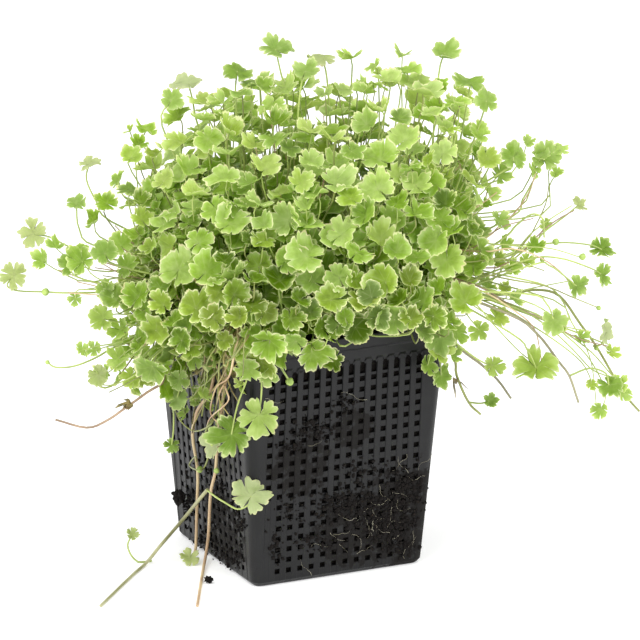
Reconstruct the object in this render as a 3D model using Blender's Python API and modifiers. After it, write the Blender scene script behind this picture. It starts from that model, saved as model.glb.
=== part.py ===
"""A pennywort growing in a square mesh pond basket.

Metres, +Z up. The origin is the middle of the basket's flat underside. The basket's
front looks along -Y and its left side along -X. The crown of leaves is one solid of
their form. The leaves, runners and hanging stems that stand clear of it are pieces
of their own, each ending a hair's breadth from what it grows from.
"""
import math
import random

import bmesh
import bpy
from mathutils import Matrix, Vector
from mathutils.bvhtree import BVHTree

# Basket: a tapered box of thin moulded plastic, with a band standing out around its rim.
RIM_SIDE = 0.0953
BASE_SIDE = 0.0785
HEIGHT = 0.1090
BAND_HEIGHT = 0.0065
BAND_STAND = 0.0010
CORNER_RADIUS = 0.0045
BASE_EDGE_RADIUS = 0.0020
WALL = 0.0014

# Lattice: each window here stands for a group of the fine meshes.
WINDOW_COLUMNS = 7
WINDOW_ROWS = 3
WINDOW_PITCH_ACROSS = 0.0104
WINDOW_PITCH_DOWN = 0.0272
OUTER_COLUMN_ROWS = 1
WINDOW_WIDTH = 0.0046
WINDOW_HEIGHT = 0.0150
FIRST_ROW_HEIGHT = 0.0770
SLOT_MIDDLE = 0.0938
SLOT_HEIGHT = 0.0050

# Clearance between pieces that touch.
GAP = 0.0003
END_STEP = 0.0001
APPROACH = 0.0030

# Soil: packed inside the basket, its top a low mound.
SOIL_TOP = 0.1030
SOIL_MOUND = 0.0030
MOUND_SHARE = 0.6

# Crown: the mass of leaves above the rim.
CROWN_MIDDLE = Vector((0.0050, -0.0020, 0.1400))
CROWN_RADIUS = 0.0740
CROWN_RISE = 0.0600
CROWN_DROP = 0.0360
CROWN_SQUARENESS = 2.3
# How far its leaf tips reach in the view below, at even turns from its right-hand side.
CROWN_OUTLINE = [0.079, 0.085, 0.098, 0.087, 0.075, 0.074, 0.078, 0.083, 0.085,
                 0.084, 0.093, 0.090, 0.066, 0.058, 0.052, 0.052, 0.076, 0.076]
LOWEST_CLUSTER = -0.62
CROWN_CLUSTERS = 60
CLUSTER_RADIUS = 0.0113
CLUSTER_STAND = 0.0060
CLUSTER_LENGTH = 0.0200
NECK_RADIUS = 0.0330
NECK_TOP = HEIGHT + 0.0120
LUMP_CLUSTER_SHARE = 0.55
LUMP_CLUSTER_STAND = 1.12

# Leaves, stalks, runners and stems.
BLADE_THICKNESS = 0.0007
BLADE_LOBES = 5
LARGE_BLADE = 0.0060
BLADE_CUP = 0.14
NOTCH_DEPTH = 0.78
SINUS_DEPTH = 0.30
STALK_RADIUS = 0.0005
RUNNER_RADIUS = 0.0007
STEM_RADIUS = 0.0009
BUD_RADIUS = 0.0017

# The view that the loose pieces are placed by: across and up it, in its own points,
# and forward from the basket's middle line, in metres along the ground.
VIEW_TURN = math.radians(25.0)
VIEW_RAISE = math.radians(18.8)
VIEW_POINTS_PER_METRE = 2367.0
VIEW_MIDDLE = (299.6, 548.0)
ACROSS = Vector((math.cos(VIEW_TURN), -math.sin(VIEW_TURN), 0.0))
FORWARD = Vector((-math.sin(VIEW_TURN), -math.cos(VIEW_TURN), 0.0))
UPWARD = Vector((0.0, 0.0, 1.0))
VIEW_UP = UPWARD * math.cos(VIEW_RAISE) - FORWARD * math.sin(VIEW_RAISE)
TAPER = (RIM_SIDE - BASE_SIDE) / 2.0 / HEIGHT


def clear_scene():
    for thing in list(bpy.data.objects):
        bpy.data.objects.remove(thing, do_unlink=True)


def make_collection(name, hidden=False):
    collection = bpy.data.collections.new(name)
    collection.hide_render = hidden
    bpy.context.scene.collection.children.link(collection)
    return collection


def material(name, colour, roughness, metallic=0.0):
    finish = bpy.data.materials.new(name)
    finish.use_nodes = True
    shader = finish.node_tree.nodes["Principled BSDF"]
    shader.inputs["Base Color"].default_value = (*colour, 1.0)
    shader.inputs["Roughness"].default_value = roughness
    shader.inputs["Metallic"].default_value = metallic
    finish.diffuse_color = (*colour, 1.0)
    return finish


def add_object(name, mesh, collection, finish=None):
    thing = bpy.data.objects.new(name, mesh)
    collection.objects.link(thing)
    if finish is not None:
        mesh.materials.append(finish)
    if collection.name == CUTTERS:
        thing.hide_render = True
        thing.display_type = "WIRE"
    return thing


def mesh_from(bm, name):
    bmesh.ops.recalc_face_normals(bm, faces=bm.faces)
    mesh = bpy.data.meshes.new(name)
    bm.to_mesh(mesh)
    bm.free()
    return mesh


def boolean(thing, other, operation):
    cut = thing.modifiers.new(operation.title(), "BOOLEAN")
    cut.operation = operation
    cut.solver = "EXACT"
    if isinstance(other, bpy.types.Collection):
        cut.operand_type = "COLLECTION"
        cut.collection = other
    else:
        cut.object = other


def settle(thing):
    """The object with its modifiers worked into its mesh."""
    graph = bpy.context.evaluated_depsgraph_get()
    mesh = bpy.data.meshes.new_from_object(thing.evaluated_get(graph))
    mesh.name = thing.name
    thing.modifiers.clear()
    thing.data = mesh
    return thing


def surface_of(thing):
    graph = bpy.context.evaluated_depsgraph_get()
    return BVHTree.FromObject(thing, graph)


# Places read from the view.

def view_offsets(x, y):
    """Metres across and up the view from the middle of the basket's underside."""
    across = (x - VIEW_MIDDLE[0]) / VIEW_POINTS_PER_METRE
    up = (VIEW_MIDDLE[1] - y) / VIEW_POINTS_PER_METRE
    return across, up


def place(x, y, forward):
    """The point seen at x, y that lies forward millimetres in front of the middle."""
    across, up = view_offsets(x, y)
    ahead = forward * 0.001
    height = (up + math.sin(VIEW_RAISE) * ahead) / math.cos(VIEW_RAISE)
    return ACROSS * across + FORWARD * ahead + UPWARD * height


def on_floor(x, y, height):
    """The point seen at x, y that lies height metres above the floor."""
    up = view_offsets(x, y)[1]
    ahead = (math.cos(VIEW_RAISE) * height - up) / math.sin(VIEW_RAISE)
    return place(x, y, ahead * 1000.0)


def on_left_side(x, y, stand):
    """The point seen at x, y that stands clear of the basket's left side."""
    across, up = view_offsets(x, y)
    reach = BASE_SIDE / 2.0 + stand + TAPER * up / math.cos(VIEW_RAISE)
    slope = math.sin(VIEW_TURN) - TAPER * math.tan(VIEW_RAISE)
    ahead = (reach + math.cos(VIEW_TURN) * across) / slope
    return place(x, y, ahead * 1000.0)


def facing(across, up, forward):
    return (ACROSS * across + UPWARD * up + FORWARD * forward).normalized()


# Basket and soil.

def rounded_stack(levels, corner, closed):
    """A body of square rings with round corners, one above another: (height, side)."""
    bm = bmesh.new()
    floor, side = levels[0]
    bmesh.ops.create_grid(bm, x_segments=1, y_segments=1, size=side / 2.0,
                          matrix=Matrix.Translation((0.0, 0.0, floor)))
    bmesh.ops.bevel(bm, geom=list(bm.verts), offset=corner, segments=2, profile=0.5,
                    affect="VERTICES", material=-1)
    ring = [edge for edge in bm.edges if edge.is_boundary]
    for height, next_side in levels[1:]:
        grown = bmesh.ops.extrude_edge_only(bm, edges=ring)["geom"]
        ring = [item for item in grown if isinstance(item, bmesh.types.BMEdge)]
        points = [item for item in grown if isinstance(item, bmesh.types.BMVert)]
        share = next_side / side
        bmesh.ops.scale(bm, vec=(share, share, 1.0), verts=points)
        bmesh.ops.translate(bm, vec=(0.0, 0.0, height - floor), verts=points)
        floor, side = height, next_side
    if closed:
        bmesh.ops.holes_fill(bm, edges=ring)
    return bm


def side_at(height):
    """The basket's outer side at a height, without the band."""
    return BASE_SIDE + 2.0 * TAPER * height


def window_bars(along_x):
    """Bars that pass right through two opposite walls, one for each window."""
    bm = bmesh.new()
    heights = [(SLOT_MIDDLE, SLOT_HEIGHT)]
    for row in range(WINDOW_ROWS):
        heights.append((FIRST_ROW_HEIGHT - row * WINDOW_PITCH_DOWN, WINDOW_HEIGHT))
    turn = Matrix.Rotation(math.pi / 2.0 if along_x else 0.0, 4, "Z")
    for column in range(WINDOW_COLUMNS):
        offset = (column - (WINDOW_COLUMNS - 1) / 2.0) * WINDOW_PITCH_ACROSS
        outer = column in (0, WINDOW_COLUMNS - 1)
        for row, (middle, tall) in enumerate(heights):
            if outer and row > OUTER_COLUMN_ROWS:
                continue
            size = Matrix.Diagonal((WINDOW_WIDTH, RIM_SIDE * 1.5, tall, 1.0))
            spot = Matrix.Translation((offset, 0.0, middle))
            bmesh.ops.create_cube(bm, size=1.0, matrix=turn @ spot @ size)
    return mesh_from(bm, "window_bars")


def make_basket(parts, cutters, plastic):
    band = HEIGHT - BAND_HEIGHT
    levels = [(0.0, BASE_SIDE - 2.0 * BASE_EDGE_RADIUS),
              (BASE_EDGE_RADIUS, side_at(BASE_EDGE_RADIUS)),
              (band, side_at(band)),
              (band + BAND_STAND, side_at(band) + 2.0 * BAND_STAND),
              (HEIGHT, RIM_SIDE + 2.0 * BAND_STAND)]
    shell = rounded_stack(levels, CORNER_RADIUS, False)
    basket = add_object("basket", mesh_from(shell, "basket"), parts, plastic)
    wall = basket.modifiers.new("Wall", "SOLIDIFY")
    wall.thickness = WALL
    wall.offset = -1.0
    wall.use_even_offset = True
    for along_x in (False, True):
        bars = add_object("basket_windows", window_bars(along_x), cutters)
        boolean(basket, bars, "DIFFERENCE")
    return settle(basket)


def make_soil(parts, earth):
    """Packed soil that fills the basket, with a low mound on top."""
    floor = WALL + GAP
    inset = 2.0 * (WALL + GAP) + 2.0 * GAP
    levels = [(floor, side_at(floor) - inset - 2.0 * BASE_EDGE_RADIUS),
              (floor + BASE_EDGE_RADIUS, side_at(floor) - inset),
              (SOIL_TOP, side_at(SOIL_TOP) - inset),
              (SOIL_TOP + SOIL_MOUND, side_at(SOIL_TOP) * MOUND_SHARE)]
    soil = rounded_stack(levels, CORNER_RADIUS, True)
    return add_object("soil", mesh_from(soil, "soil"), parts, earth)


# Crown of leaves.

def outline_reach(across, up):
    """The reach of the crown's outline on the side that across and up point to."""
    count = len(CROWN_OUTLINE)
    step = math.atan2(up, across) % math.tau / math.tau * count
    before = int(step) % count
    share = step - int(step)
    return (CROWN_OUTLINE[before] * (1.0 - share)
            + CROWN_OUTLINE[(before + 1) % count] * share)


def even_reach(direction):
    """The reach of a rounded body that is the same all round."""
    level = math.hypot(direction.x, direction.y) / CROWN_RADIUS
    upright = abs(direction.z) / (CROWN_RISE if direction.z > 0.0 else CROWN_DROP)
    power = CROWN_SQUARENESS
    return (level ** power + upright ** power) ** (-1.0 / power)


def crown_reach(direction):
    """How far the crown's body reaches from its middle, along a unit direction."""
    across = direction.dot(ACROSS)
    up = direction.dot(VIEW_UP)
    aside = across * across + up * up
    edge = (ACROSS * across + VIEW_UP * up).normalized()
    share = (outline_reach(across, up) - CLUSTER_STAND) / even_reach(edge)
    return even_reach(direction) * (1.0 + aside * (share - 1.0))


def crown_directions(count):
    """Directions spread evenly over the crown, all but its hidden underside."""
    golden = math.pi * (3.0 - math.sqrt(5.0))
    for index in range(count):
        height = 1.0 - (1.0 - LOWEST_CLUSTER) * (index + 0.5) / count
        level = math.sqrt(1.0 - height * height)
        turn = golden * index
        yield Vector((level * math.cos(turn), level * math.sin(turn), height))


def leaf_cluster(spot, axis, radius, spin):
    """A short six-sided plug that stands for a few leaves lying side by side."""
    turn = axis.to_track_quat("Z", "Y").to_matrix().to_4x4()
    middle = spot - axis * CLUSTER_LENGTH / 2.0
    bm = bmesh.new()
    bmesh.ops.create_cone(bm, cap_ends=True, segments=6, radius1=radius * 0.8,
                          radius2=radius, depth=CLUSTER_LENGTH,
                          matrix=Matrix.Translation(middle) @ turn
                          @ Matrix.Rotation(spin, 4, "Z"))
    return mesh_from(bm, "leaf_cluster")


def make_crown(parts, cutters, leafy):
    """A rounded body with a raised cluster of leaves over every part of it."""
    chance = random.Random(11)
    bm = bmesh.new()
    bmesh.ops.create_icosphere(bm, subdivisions=2, radius=1.0)
    for vertex in bm.verts:
        direction = vertex.co.normalized()
        vertex.co = CROWN_MIDDLE + direction * crown_reach(direction)
    crown = add_object("leaf_crown", mesh_from(bm, "leaf_crown"), parts, leafy)

    growth = bpy.data.collections.new("leaf_clusters")
    cutters.children.link(growth)
    for direction in crown_directions(CROWN_CLUSTERS):
        stand = CLUSTER_STAND * chance.uniform(0.35, 1.25)
        radius = CLUSTER_RADIUS * chance.uniform(0.85, 1.2)
        lean = Vector((chance.uniform(-0.22, 0.22), chance.uniform(-0.22, 0.22), 0.12))
        axis = (direction + lean).normalized()
        spot = CROWN_MIDDLE + direction * (crown_reach(direction) + stand)
        mesh = leaf_cluster(spot, axis, radius, chance.uniform(0.0, math.tau))
        add_object("leaf_cluster", mesh, growth).hide_render = True
    for x, y, forward, radius, tall in HANGING_LUMPS:
        bm = bmesh.new()
        bmesh.ops.create_icosphere(bm, subdivisions=1, radius=1.0)
        bmesh.ops.scale(bm, vec=(radius, radius, tall), verts=bm.verts)
        middle = place(x, y, forward)
        bmesh.ops.translate(bm, vec=middle, verts=bm.verts)
        add_object("hanging_lump", mesh_from(bm, "hanging_lump"), growth).hide_render = True
        for across, up, ahead in LUMP_LEAF_WAYS:
            axis = facing(across, up, ahead)
            surface = Vector((axis.x * radius, axis.y * radius, axis.z * tall))
            mesh = leaf_cluster(middle + surface * LUMP_CLUSTER_STAND, axis,
                                radius * LUMP_CLUSTER_SHARE, chance.uniform(0.0, math.tau))
            add_object("leaf_cluster", mesh, growth).hide_render = True
    boolean(crown, growth, "UNION")

    outer = 2.0 * (BAND_STAND + GAP)
    space = rounded_stack([(0.0, BASE_SIDE + outer), (HEIGHT + GAP, RIM_SIDE + outer)],
                          CORNER_RADIUS, True)
    boolean(crown, add_object("rim_space", mesh_from(space, "rim_space"), cutters),
            "DIFFERENCE")

    neck = bmesh.new()
    neck_foot = SOIL_TOP + SOIL_MOUND + GAP
    bmesh.ops.create_cone(neck, cap_ends=True, segments=12, radius1=NECK_RADIUS,
                          radius2=NECK_RADIUS, depth=NECK_TOP - neck_foot,
                          matrix=Matrix.Translation((0.0, 0.0, (NECK_TOP + neck_foot) / 2.0)))
    boolean(crown, add_object("neck", mesh_from(neck, "neck"), cutters), "UNION")
    return settle(crown)


# Leaves, runners and stems that stand clear of the crown.

def smooth_route(points, steps=2):
    """More points along a smooth curve through the given ones."""
    if len(points) < 3:
        return list(points)
    ends = [points[0] * 2.0 - points[1]] + list(points) + [points[-1] * 2.0 - points[-2]]
    route = []
    for before, start, stop, after in zip(ends, ends[1:], ends[2:], ends[3:]):
        for step in range(steps):
            t = step / steps
            bend = (2.0 * before - 5.0 * start + 4.0 * stop - after) * t * t
            twist = (3.0 * start - before - 3.0 * stop + after) * t * t * t
            route.append(start + ((stop - before) * t + bend + twist) / 2.0)
    route.append(points[-1])
    return route


def is_clear(host, spot, way, radius):
    """Whether a rod's flat end, at spot, keeps its gap to the host."""
    side = way.orthogonal().normalized() * radius
    other = way.cross(side).normalized() * radius
    rim = (spot, spot + side, spot - side, spot + other, spot - other)
    return all(host.find_nearest(point)[3] > GAP for point in rim)


def end_in(route, host, radius):
    """The route, ended just short of the body that it runs into."""
    kept = [route[0]]
    for start, stop in zip(route, route[1:]):
        way = (stop - start).normalized()
        steps = math.ceil((stop - start).length / END_STEP)
        for step in range(1, steps + 1):
            spot = start.lerp(stop, step / steps)
            if not is_clear(host, spot, way, radius):
                kept.append(start.lerp(stop, max(step - 1, 0.5) / steps))
                return kept
        kept.append(stop)
    raise ValueError(f"a stalk ends in the air at {route[-1]}")


def end_on(route, host, radius):
    """The route, with its end moved to lie against the thin stem that it grows from."""
    approach = route[-1] + (route[-2] - route[-1]).normalized() * APPROACH
    spot, normal, _, _ = host.find_nearest(approach)
    return route[:-1] + [spot + normal * (GAP + radius)]


def above_floor(points, radius):
    return [Vector((p.x, p.y, max(p.z, radius + GAP))) for p in points]


def tube_mesh(points, radius, name):
    """A thin round rod along the points, with closed ends."""
    curve = bpy.data.curves.new(name, "CURVE")
    curve.dimensions = "3D"
    curve.bevel_depth = radius
    curve.bevel_resolution = 0
    curve.use_fill_caps = True
    spline = curve.splines.new("POLY")
    spline.points.add(len(points) - 1)
    for knot, point in zip(spline.points, points):
        knot.co = (*point, 1.0)
    guide = bpy.data.objects.new(name, curve)
    bpy.context.scene.collection.objects.link(guide)
    graph = bpy.context.evaluated_depsgraph_get()
    mesh = bpy.data.meshes.new_from_object(guide.evaluated_get(graph))
    bpy.data.objects.remove(guide)
    bm = bmesh.new()
    bm.from_mesh(mesh)
    bpy.data.meshes.remove(mesh)
    bmesh.ops.remove_doubles(bm, verts=bm.verts, dist=0.00001)
    return mesh_from(bm, name)


def blade_mesh(middle, radius, face_way, base_way):
    """A round lobed blade, a little cupped, notched towards its stalk."""
    bm = bmesh.new()
    corners = 3 if radius > LARGE_BLADE else 2
    count = corners * BLADE_LOBES
    bmesh.ops.create_circle(bm, cap_ends=True, cap_tris=True, segments=count, radius=1.0)
    for vertex in bm.verts:
        if vertex.co.length < 0.5:
            continue
        vertex.co.z = BLADE_CUP
        step = round(math.atan2(vertex.co.y, vertex.co.x) / math.tau * count) % count
        if step == 0:
            vertex.co *= SINUS_DEPTH
        elif step % corners == 0:
            vertex.co *= NOTCH_DEPTH
    bmesh.ops.scale(bm, vec=(radius, radius, radius), verts=bm.verts)
    bmesh.ops.recalc_face_normals(bm, faces=bm.faces)
    bmesh.ops.solidify(bm, geom=list(bm.faces), thickness=BLADE_THICKNESS)
    side_way = face_way.cross(base_way).normalized()
    flat_way = side_way.cross(face_way).normalized()
    turn = Matrix((flat_way, side_way, face_way)).transposed().to_4x4()
    bmesh.ops.transform(bm, matrix=Matrix.Translation(middle) @ turn, verts=bm.verts)
    return mesh_from(bm, "blade")


def make_leaf(name, middle, radius, face_way, stalk, host, ending, group):
    """A blade joined to its stalk, which ends on what it grows from."""
    parts, cutters, leafy = group
    route = above_floor(ending([middle] + stalk, host, STALK_RADIUS), STALK_RADIUS)
    base_way = route[1] - middle
    leaf = add_object(name, blade_mesh(middle, radius, face_way, base_way), parts, leafy)
    rod = tube_mesh(route, STALK_RADIUS, "stalk")
    boolean(leaf, add_object("stalk", rod, cutters), "UNION")
    return settle(leaf)


def make_runner(name, points, radius, host, ending, group):
    """A long thin stem that lies or arches free and ends on what it grows from."""
    parts, _, leafy = group
    route = above_floor(ending(smooth_route(points), host, radius), radius)
    return add_object(name, tube_mesh(route, radius, name), parts, leafy)


def make_bud(name, middle, stalk, host, group):
    """A round head of flower buds on a thin stalk."""
    parts, cutters, leafy = group
    route = end_in([middle] + stalk, host, STALK_RADIUS)
    bm = bmesh.new()
    bmesh.ops.create_icosphere(bm, subdivisions=1, radius=BUD_RADIUS,
                               matrix=Matrix.Translation(middle))
    bud = add_object(name, mesh_from(bm, name), parts, leafy)
    rod = tube_mesh(route, STALK_RADIUS, "bud_stalk")
    boolean(bud, add_object("bud_stalk", rod, cutters), "UNION")
    return settle(bud)


def make_clump(name, middle, size, seed, parts, earth):
    """A crumb of soil."""
    chance = random.Random(seed)
    bm = bmesh.new()
    bmesh.ops.create_icosphere(bm, subdivisions=1, radius=1.0)
    for vertex in bm.verts:
        vertex.co *= chance.uniform(0.75, 1.0)
    bmesh.ops.scale(bm, vec=size, verts=bm.verts)
    bmesh.ops.translate(bm, vec=middle, verts=bm.verts)
    return add_object(name, mesh_from(bm, name), parts, earth)


# Each leaf: name, middle of its blade, radius, the way it faces, then its stalk's
# points down to a point inside what it grows from. Points are x, y, forward.
CROWN_LEAVES = [
    ("leaf_top_1", (275, 47, 0), 0.0074, (0.1, 0.5, 0.85),
     [(281, 74, 2), (287, 100, 5), (292, 160, 8)]),
    ("leaf_top_2", (238, 69, -4), 0.0063, (0.1, 0.75, 0.6),
     [(236, 98, 0), (242, 170, 6)]),
    ("leaf_top_3", (321, 56, -22), 0.0060, (0.1, 1.0, 0.12), [(327, 80, -18), (332, 150, -12)]),
    ("leaf_top_4", (445, 51, -6), 0.0063, (0.1, 1.0, 0.15), [(438, 77, -5), (430, 170, 0)]),
    ("leaf_top_5", (470, 81, 6), 0.0070, (0.2, 0.9, 0.3), [(465, 112, 6), (450, 190, 5)]),
    ("leaf_top_6", (486, 100, 16), 0.0053, (0.5, 0.5, 0.6), [(479, 124, 13), (455, 190, 10)]),
    ("leaf_top_7", (188, 81, 0), 0.0067, (-0.1, 1.0, 0.1),
     [(193, 100, 2), (199, 128, 5), (222, 190, 8)]),
    ("leaf_top_8", (173, 99, 10), 0.0050, (0.2, 0.6, 0.7), [(163, 127, 12), (200, 205, 15)]),
    ("leaf_top_9", (306, 70, 14), 0.0058, (0.0, 0.7, 0.7), [(300, 95, 16), (295, 160, 20)]),
    ("leaf_left_1", (90, 162, -24), 0.0050, (-0.3, 0.8, 0.4),
     [(87, 180, -24), (97, 202, -20), (112, 222, -16), (200, 262, 0)]),
    ("leaf_left_2", (77, 202, -4), 0.0045, (-0.2, 0.6, 0.7),
     [(80, 229, -3), (98, 247, 0), (200, 270, 10)]),
    ("leaf_left_3", (32, 234, 22), 0.0063, (-0.3, 0.35, 0.9),
     [(53, 238, 22), (85, 252, 22), (200, 280, 25)]),
    ("leaf_left_4", (17, 273, 30), 0.0063, (-0.2, 0.35, 0.9),
     [(9, 286, 30), (20, 291, 30), (46, 292, 30), (80, 293, 30), (200, 290, 30)]),
    ("leaf_left_5", (70, 262, 36), 0.0063, (-0.6, 0.2, 0.75), [(86, 280, 36), (200, 300, 34)]),
    ("leaf_left_6", (104, 252, 44), 0.0055, (-0.2, 0.5, 0.8), [(119, 266, 41), (200, 285, 35)]),
    ("leaf_left_7", (102, 318, 44), 0.0060, (-0.3, 0.4, 0.85), [(120, 322, 40), (160, 330, 28)]),
    ("leaf_left_8", (102, 376, 44), 0.0048, (-0.2, 0.5, 0.8),
     [(96, 370, 43), (97, 382, 41), (112, 386, 38), (150, 355, 26)]),
    ("leaf_front_1", (259, 419, 68), 0.0089, (-0.1, 0.15, 1.0), [(262, 390, 67), (262, 345, 64)]),
    ("leaf_front_2", (231, 439, 64), 0.0098, (-0.3, 0.2, 0.95),
     [(238, 405, 63), (247, 380, 64), (258, 345, 64)]),
    ("leaf_front_3", (178, 400, 34), 0.0053, (-0.3, 0.3, 0.9), [(178, 385, 33), (155, 350, 26)]),
    ("leaf_front_4", (172, 446, 6), 0.0036, (-0.3, 0.4, 0.85),
     [(174, 425, 10), (172, 400, 16), (155, 350, 24)]),
    ("leaf_front_5", (440, 342, 46), 0.0070, (0.3, 0.2, 0.9), [(437, 325, 44), (425, 270, 34)]),
    ("leaf_front_6", (441, 378, 36), 0.0055, (0.6, 0.1, 0.7), [(438, 355, 35), (420, 270, 26)]),
    ("leaf_right_1", (545, 156, -22), 0.0065, (0.3, 0.35, 0.9),
     [(535, 177, -20), (522, 200, -16), (510, 218, -12), (420, 260, 0)]),
    ("leaf_right_2", (514, 155, 6), 0.0058, (0.3, 0.45, 0.8), [(505, 170, 7), (430, 215, 12)]),
    ("leaf_right_3", (581, 203, -34), 0.0042, (0.5, 0.4, 0.7),
     [(565, 216, -30), (545, 231, -24), (520, 250, -16), (420, 280, 0)]),
    ("leaf_right_4", (604, 251, -6), 0.0058, (0.2, 0.45, 0.9),
     [(588, 245, -5), (557, 243, -2), (525, 250, 2), (420, 290, 10)]),
    ("leaf_right_5", (602, 276, 26), 0.0052, (0.2, 0.5, 0.8),
     [(588, 268, 26), (555, 258, 26), (520, 262, 26), (420, 300, 26)]),
    ("leaf_right_6", (577, 288, 34), 0.0052, (0.1, 0.5, 0.8),
     [(565, 278, 34), (548, 266, 34), (528, 266, 34), (420, 305, 32)]),
    ("leaf_right_7", (553, 322, 48), 0.0055, (0.2, 0.4, 0.9),
     [(545, 304, 47), (525, 294, 47), (420, 290, 40)]),
    ("leaf_right_8", (537, 372, 50), 0.0093, (0.1, 0.5, 0.85),
     [(526, 350, 49), (508, 332, 46), (400, 270, 26)]),
    ("leaf_right_9", (494, 366, 44), 0.0047, (0.2, 0.5, 0.8),
     [(482, 362, 43), (464, 350, 42), (415, 310, 38)]),
    ("leaf_back_1", (300, 150, -96), 0.0065, (0.1, 0.5, -0.85), [(304, 158, -91), (306, 205, -50)]),
    ("leaf_back_2", (240, 205, -92), 0.0065, (-0.3, 0.3, -0.9),
     [(246, 214, -84), (275, 215, -40)]),
]

# Runners that hang or arch free of the crown, from the tip inwards.
CROWN_RUNNERS = [
    ("runner_left_1", [(49, 362, 36), (57, 367, 36), (75, 366, 35), (96, 358, 33),
                       (118, 346, 30), (155, 335, 26)]),
    ("runner_left_2", [(57, 419, 52), (88, 427, 52), (108, 420, 51), (127, 407, 49),
                       (148, 392, 44), (165, 378, 38), (158, 345, 28)]),
    ("runner_right_1", [(543, 238, 20), (541, 219, 20), (530, 215, 20), (515, 226, 20),
                        (498, 242, 20), (420, 290, 20)]),
    ("runner_right_2", [(638, 411, 30), (622, 392, 30), (596, 348, 30), (579, 324, 30),
                        (558, 296, 30), (535, 290, 30), (507, 294, 30), (420, 305, 28)]),
    ("runner_right_3", [(577, 402, 44), (568, 376, 44), (557, 361, 44), (535, 333, 44),
                        (505, 313, 42), (400, 275, 28)]),
    ("runner_right_4", [(510, 398, 36), (497, 380, 37), (480, 364, 37), (458, 347, 36),
                        (410, 300, 32)]),
    ("runner_right_5", [(480, 414, 28), (468, 402, 29), (456, 375, 30), (452, 352, 29),
                        (420, 280, 24)]),
    ("runner_back_1", [(345, 400, -62), (343, 350, -64), (338, 300, -68), (335, 262, -72),
                       (330, 225, -56)]),
]

# Leaves that grow from a runner or a hanging stem: as above, with the runner's name.
RUNNER_LEAVES = [
    ("leaf_right_10", "runner_right_3", (608, 388, 46), 0.0060, (0.2, 0.45, 0.9),
     [(604, 373, 46), (588, 368, 45), (569, 375, 44)]),
    ("leaf_right_11", "runner_right_2", (605, 330, 36), 0.0055, (0.9, 0.15, 0.4),
     [(600, 344, 33), (592, 346, 28)]),
    ("leaf_right_12", "runner_right_5", (490, 400, 32), 0.0035, (0.1, 0.6, 0.7),
     [(480, 403, 30), (469, 402, 29)]),
    ("leaf_back_3", "runner_back_1", (352, 385, -72), 0.0060, (0.2, 0.3, -0.9),
     [(349, 378, -69), (344, 374, -63)]),
    ("leaf_front_7", "stem_hanging_2", (214, 446, 48), 0.0060, (-0.75, 0.1, 0.6),
     [(218, 430, 50), (221, 420, 46)]),
    ("leaf_front_8", "stem_hanging_2", (253, 491, 64), 0.0085, (0.1, 0.5, 0.85),
     [(248, 504, 63), (238, 508, 58), (226, 502, 51), (216, 496, 42), (208, 490, 34)]),
    ("leaf_floor_2", "stem_hanging_1", (190, 558, 21), 0.0043, (0.1, 0.75, 0.6),
     [(195, 552, 12)]),
    ("leaf_floor_1", "stem_hanging_3", (133, 533, 20), 0.0030, (0.3, 0.5, 0.8),
     [(128, 545, 20), (133, 557, 20), (144, 564, 19), (152, 560, 18)]),
]

# Lumps of leaves that hang over the rim: x, y, forward, radius and half height.
HANGING_LUMPS = [
    (152, 340, 25, 0.0160, 0.0270),
    (258, 345, 62, 0.0130, 0.0170),
    (205, 325, 44, 0.0120, 0.0150),
]


# The ways that the leaves on such a lump face: across, up, forward.
LUMP_LEAF_WAYS = [(-0.2, 0.3, 1.0), (-0.9, 0.3, 0.5), (-0.4, -0.5, 0.8), (0.4, -0.3, 0.8),
                  (-1.0, -0.2, -0.3)]


def make_hanging_stems(crown_face, group):
    """Stems that fall down the basket's left side and run on along the floor."""
    stand = BAND_STAND + STEM_RADIUS + GAP
    low = STEM_RADIUS
    drop_1 = [on_floor(194, 554, low), on_left_side(196, 545, stand), on_left_side(197, 510, stand),
              on_left_side(198, 471, stand), on_left_side(193, 435, stand),
              on_left_side(198, 410, stand), on_left_side(212, 388, stand),
              place(215, 350, 44), place(212, 300, 46)]
    drop_2 = [on_floor(198, 604, low), on_floor(203, 572, low), on_left_side(207, 548, stand),
              on_left_side(209, 530, stand), on_left_side(211, 493, stand),
              on_left_side(216, 470, stand), on_left_side(218, 440, stand),
              on_left_side(222, 410, stand), on_left_side(226, 380, stand),
              place(229, 345, 58), place(240, 285, 55)]
    clear = 4.0 * STEM_RADIUS
    drop_3 = [on_floor(102, 604, low), on_floor(144, 565, low), place(160, 546, 22),
              on_left_side(185, 517, stand + clear), on_left_side(198, 501, stand + clear),
              on_left_side(208, 489, stand + STEM_RADIUS)]
    stems = {}
    for name, points in (("stem_hanging_1", drop_1), ("stem_hanging_2", drop_2)):
        stems[name] = make_runner(name, points + [CROWN_MIDDLE], STEM_RADIUS, crown_face,
                                  end_in, group)
    host = surface_of(stems["stem_hanging_2"])
    stems["stem_hanging_3"] = make_runner("stem_hanging_3", drop_3, STEM_RADIUS, host,
                                          end_on, group)
    return stems


def make_loose_growth(crown, group):
    crown_face = surface_of(crown)
    hosts = make_hanging_stems(crown_face, group)
    for name, middle, radius, way, stalk in CROWN_LEAVES:
        make_leaf(name, place(*middle), radius, facing(*way),
                  [place(*p) for p in stalk] + [CROWN_MIDDLE], crown_face, end_in, group)
    for name, points in CROWN_RUNNERS:
        hosts[name] = make_runner(name, [place(*p) for p in points] + [CROWN_MIDDLE],
                                  RUNNER_RADIUS, crown_face, end_in, group)
    for name, host, middle, radius, way, stalk in RUNNER_LEAVES:
        make_leaf(name, place(*middle), radius, facing(*way), [place(*p) for p in stalk],
                  surface_of(hosts[host]), end_on, group)
    make_bud("bud_front", place(290, 381, 62),
             [place(283, 370, 63), place(270, 350, 62), CROWN_MIDDLE], crown_face, group)


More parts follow.
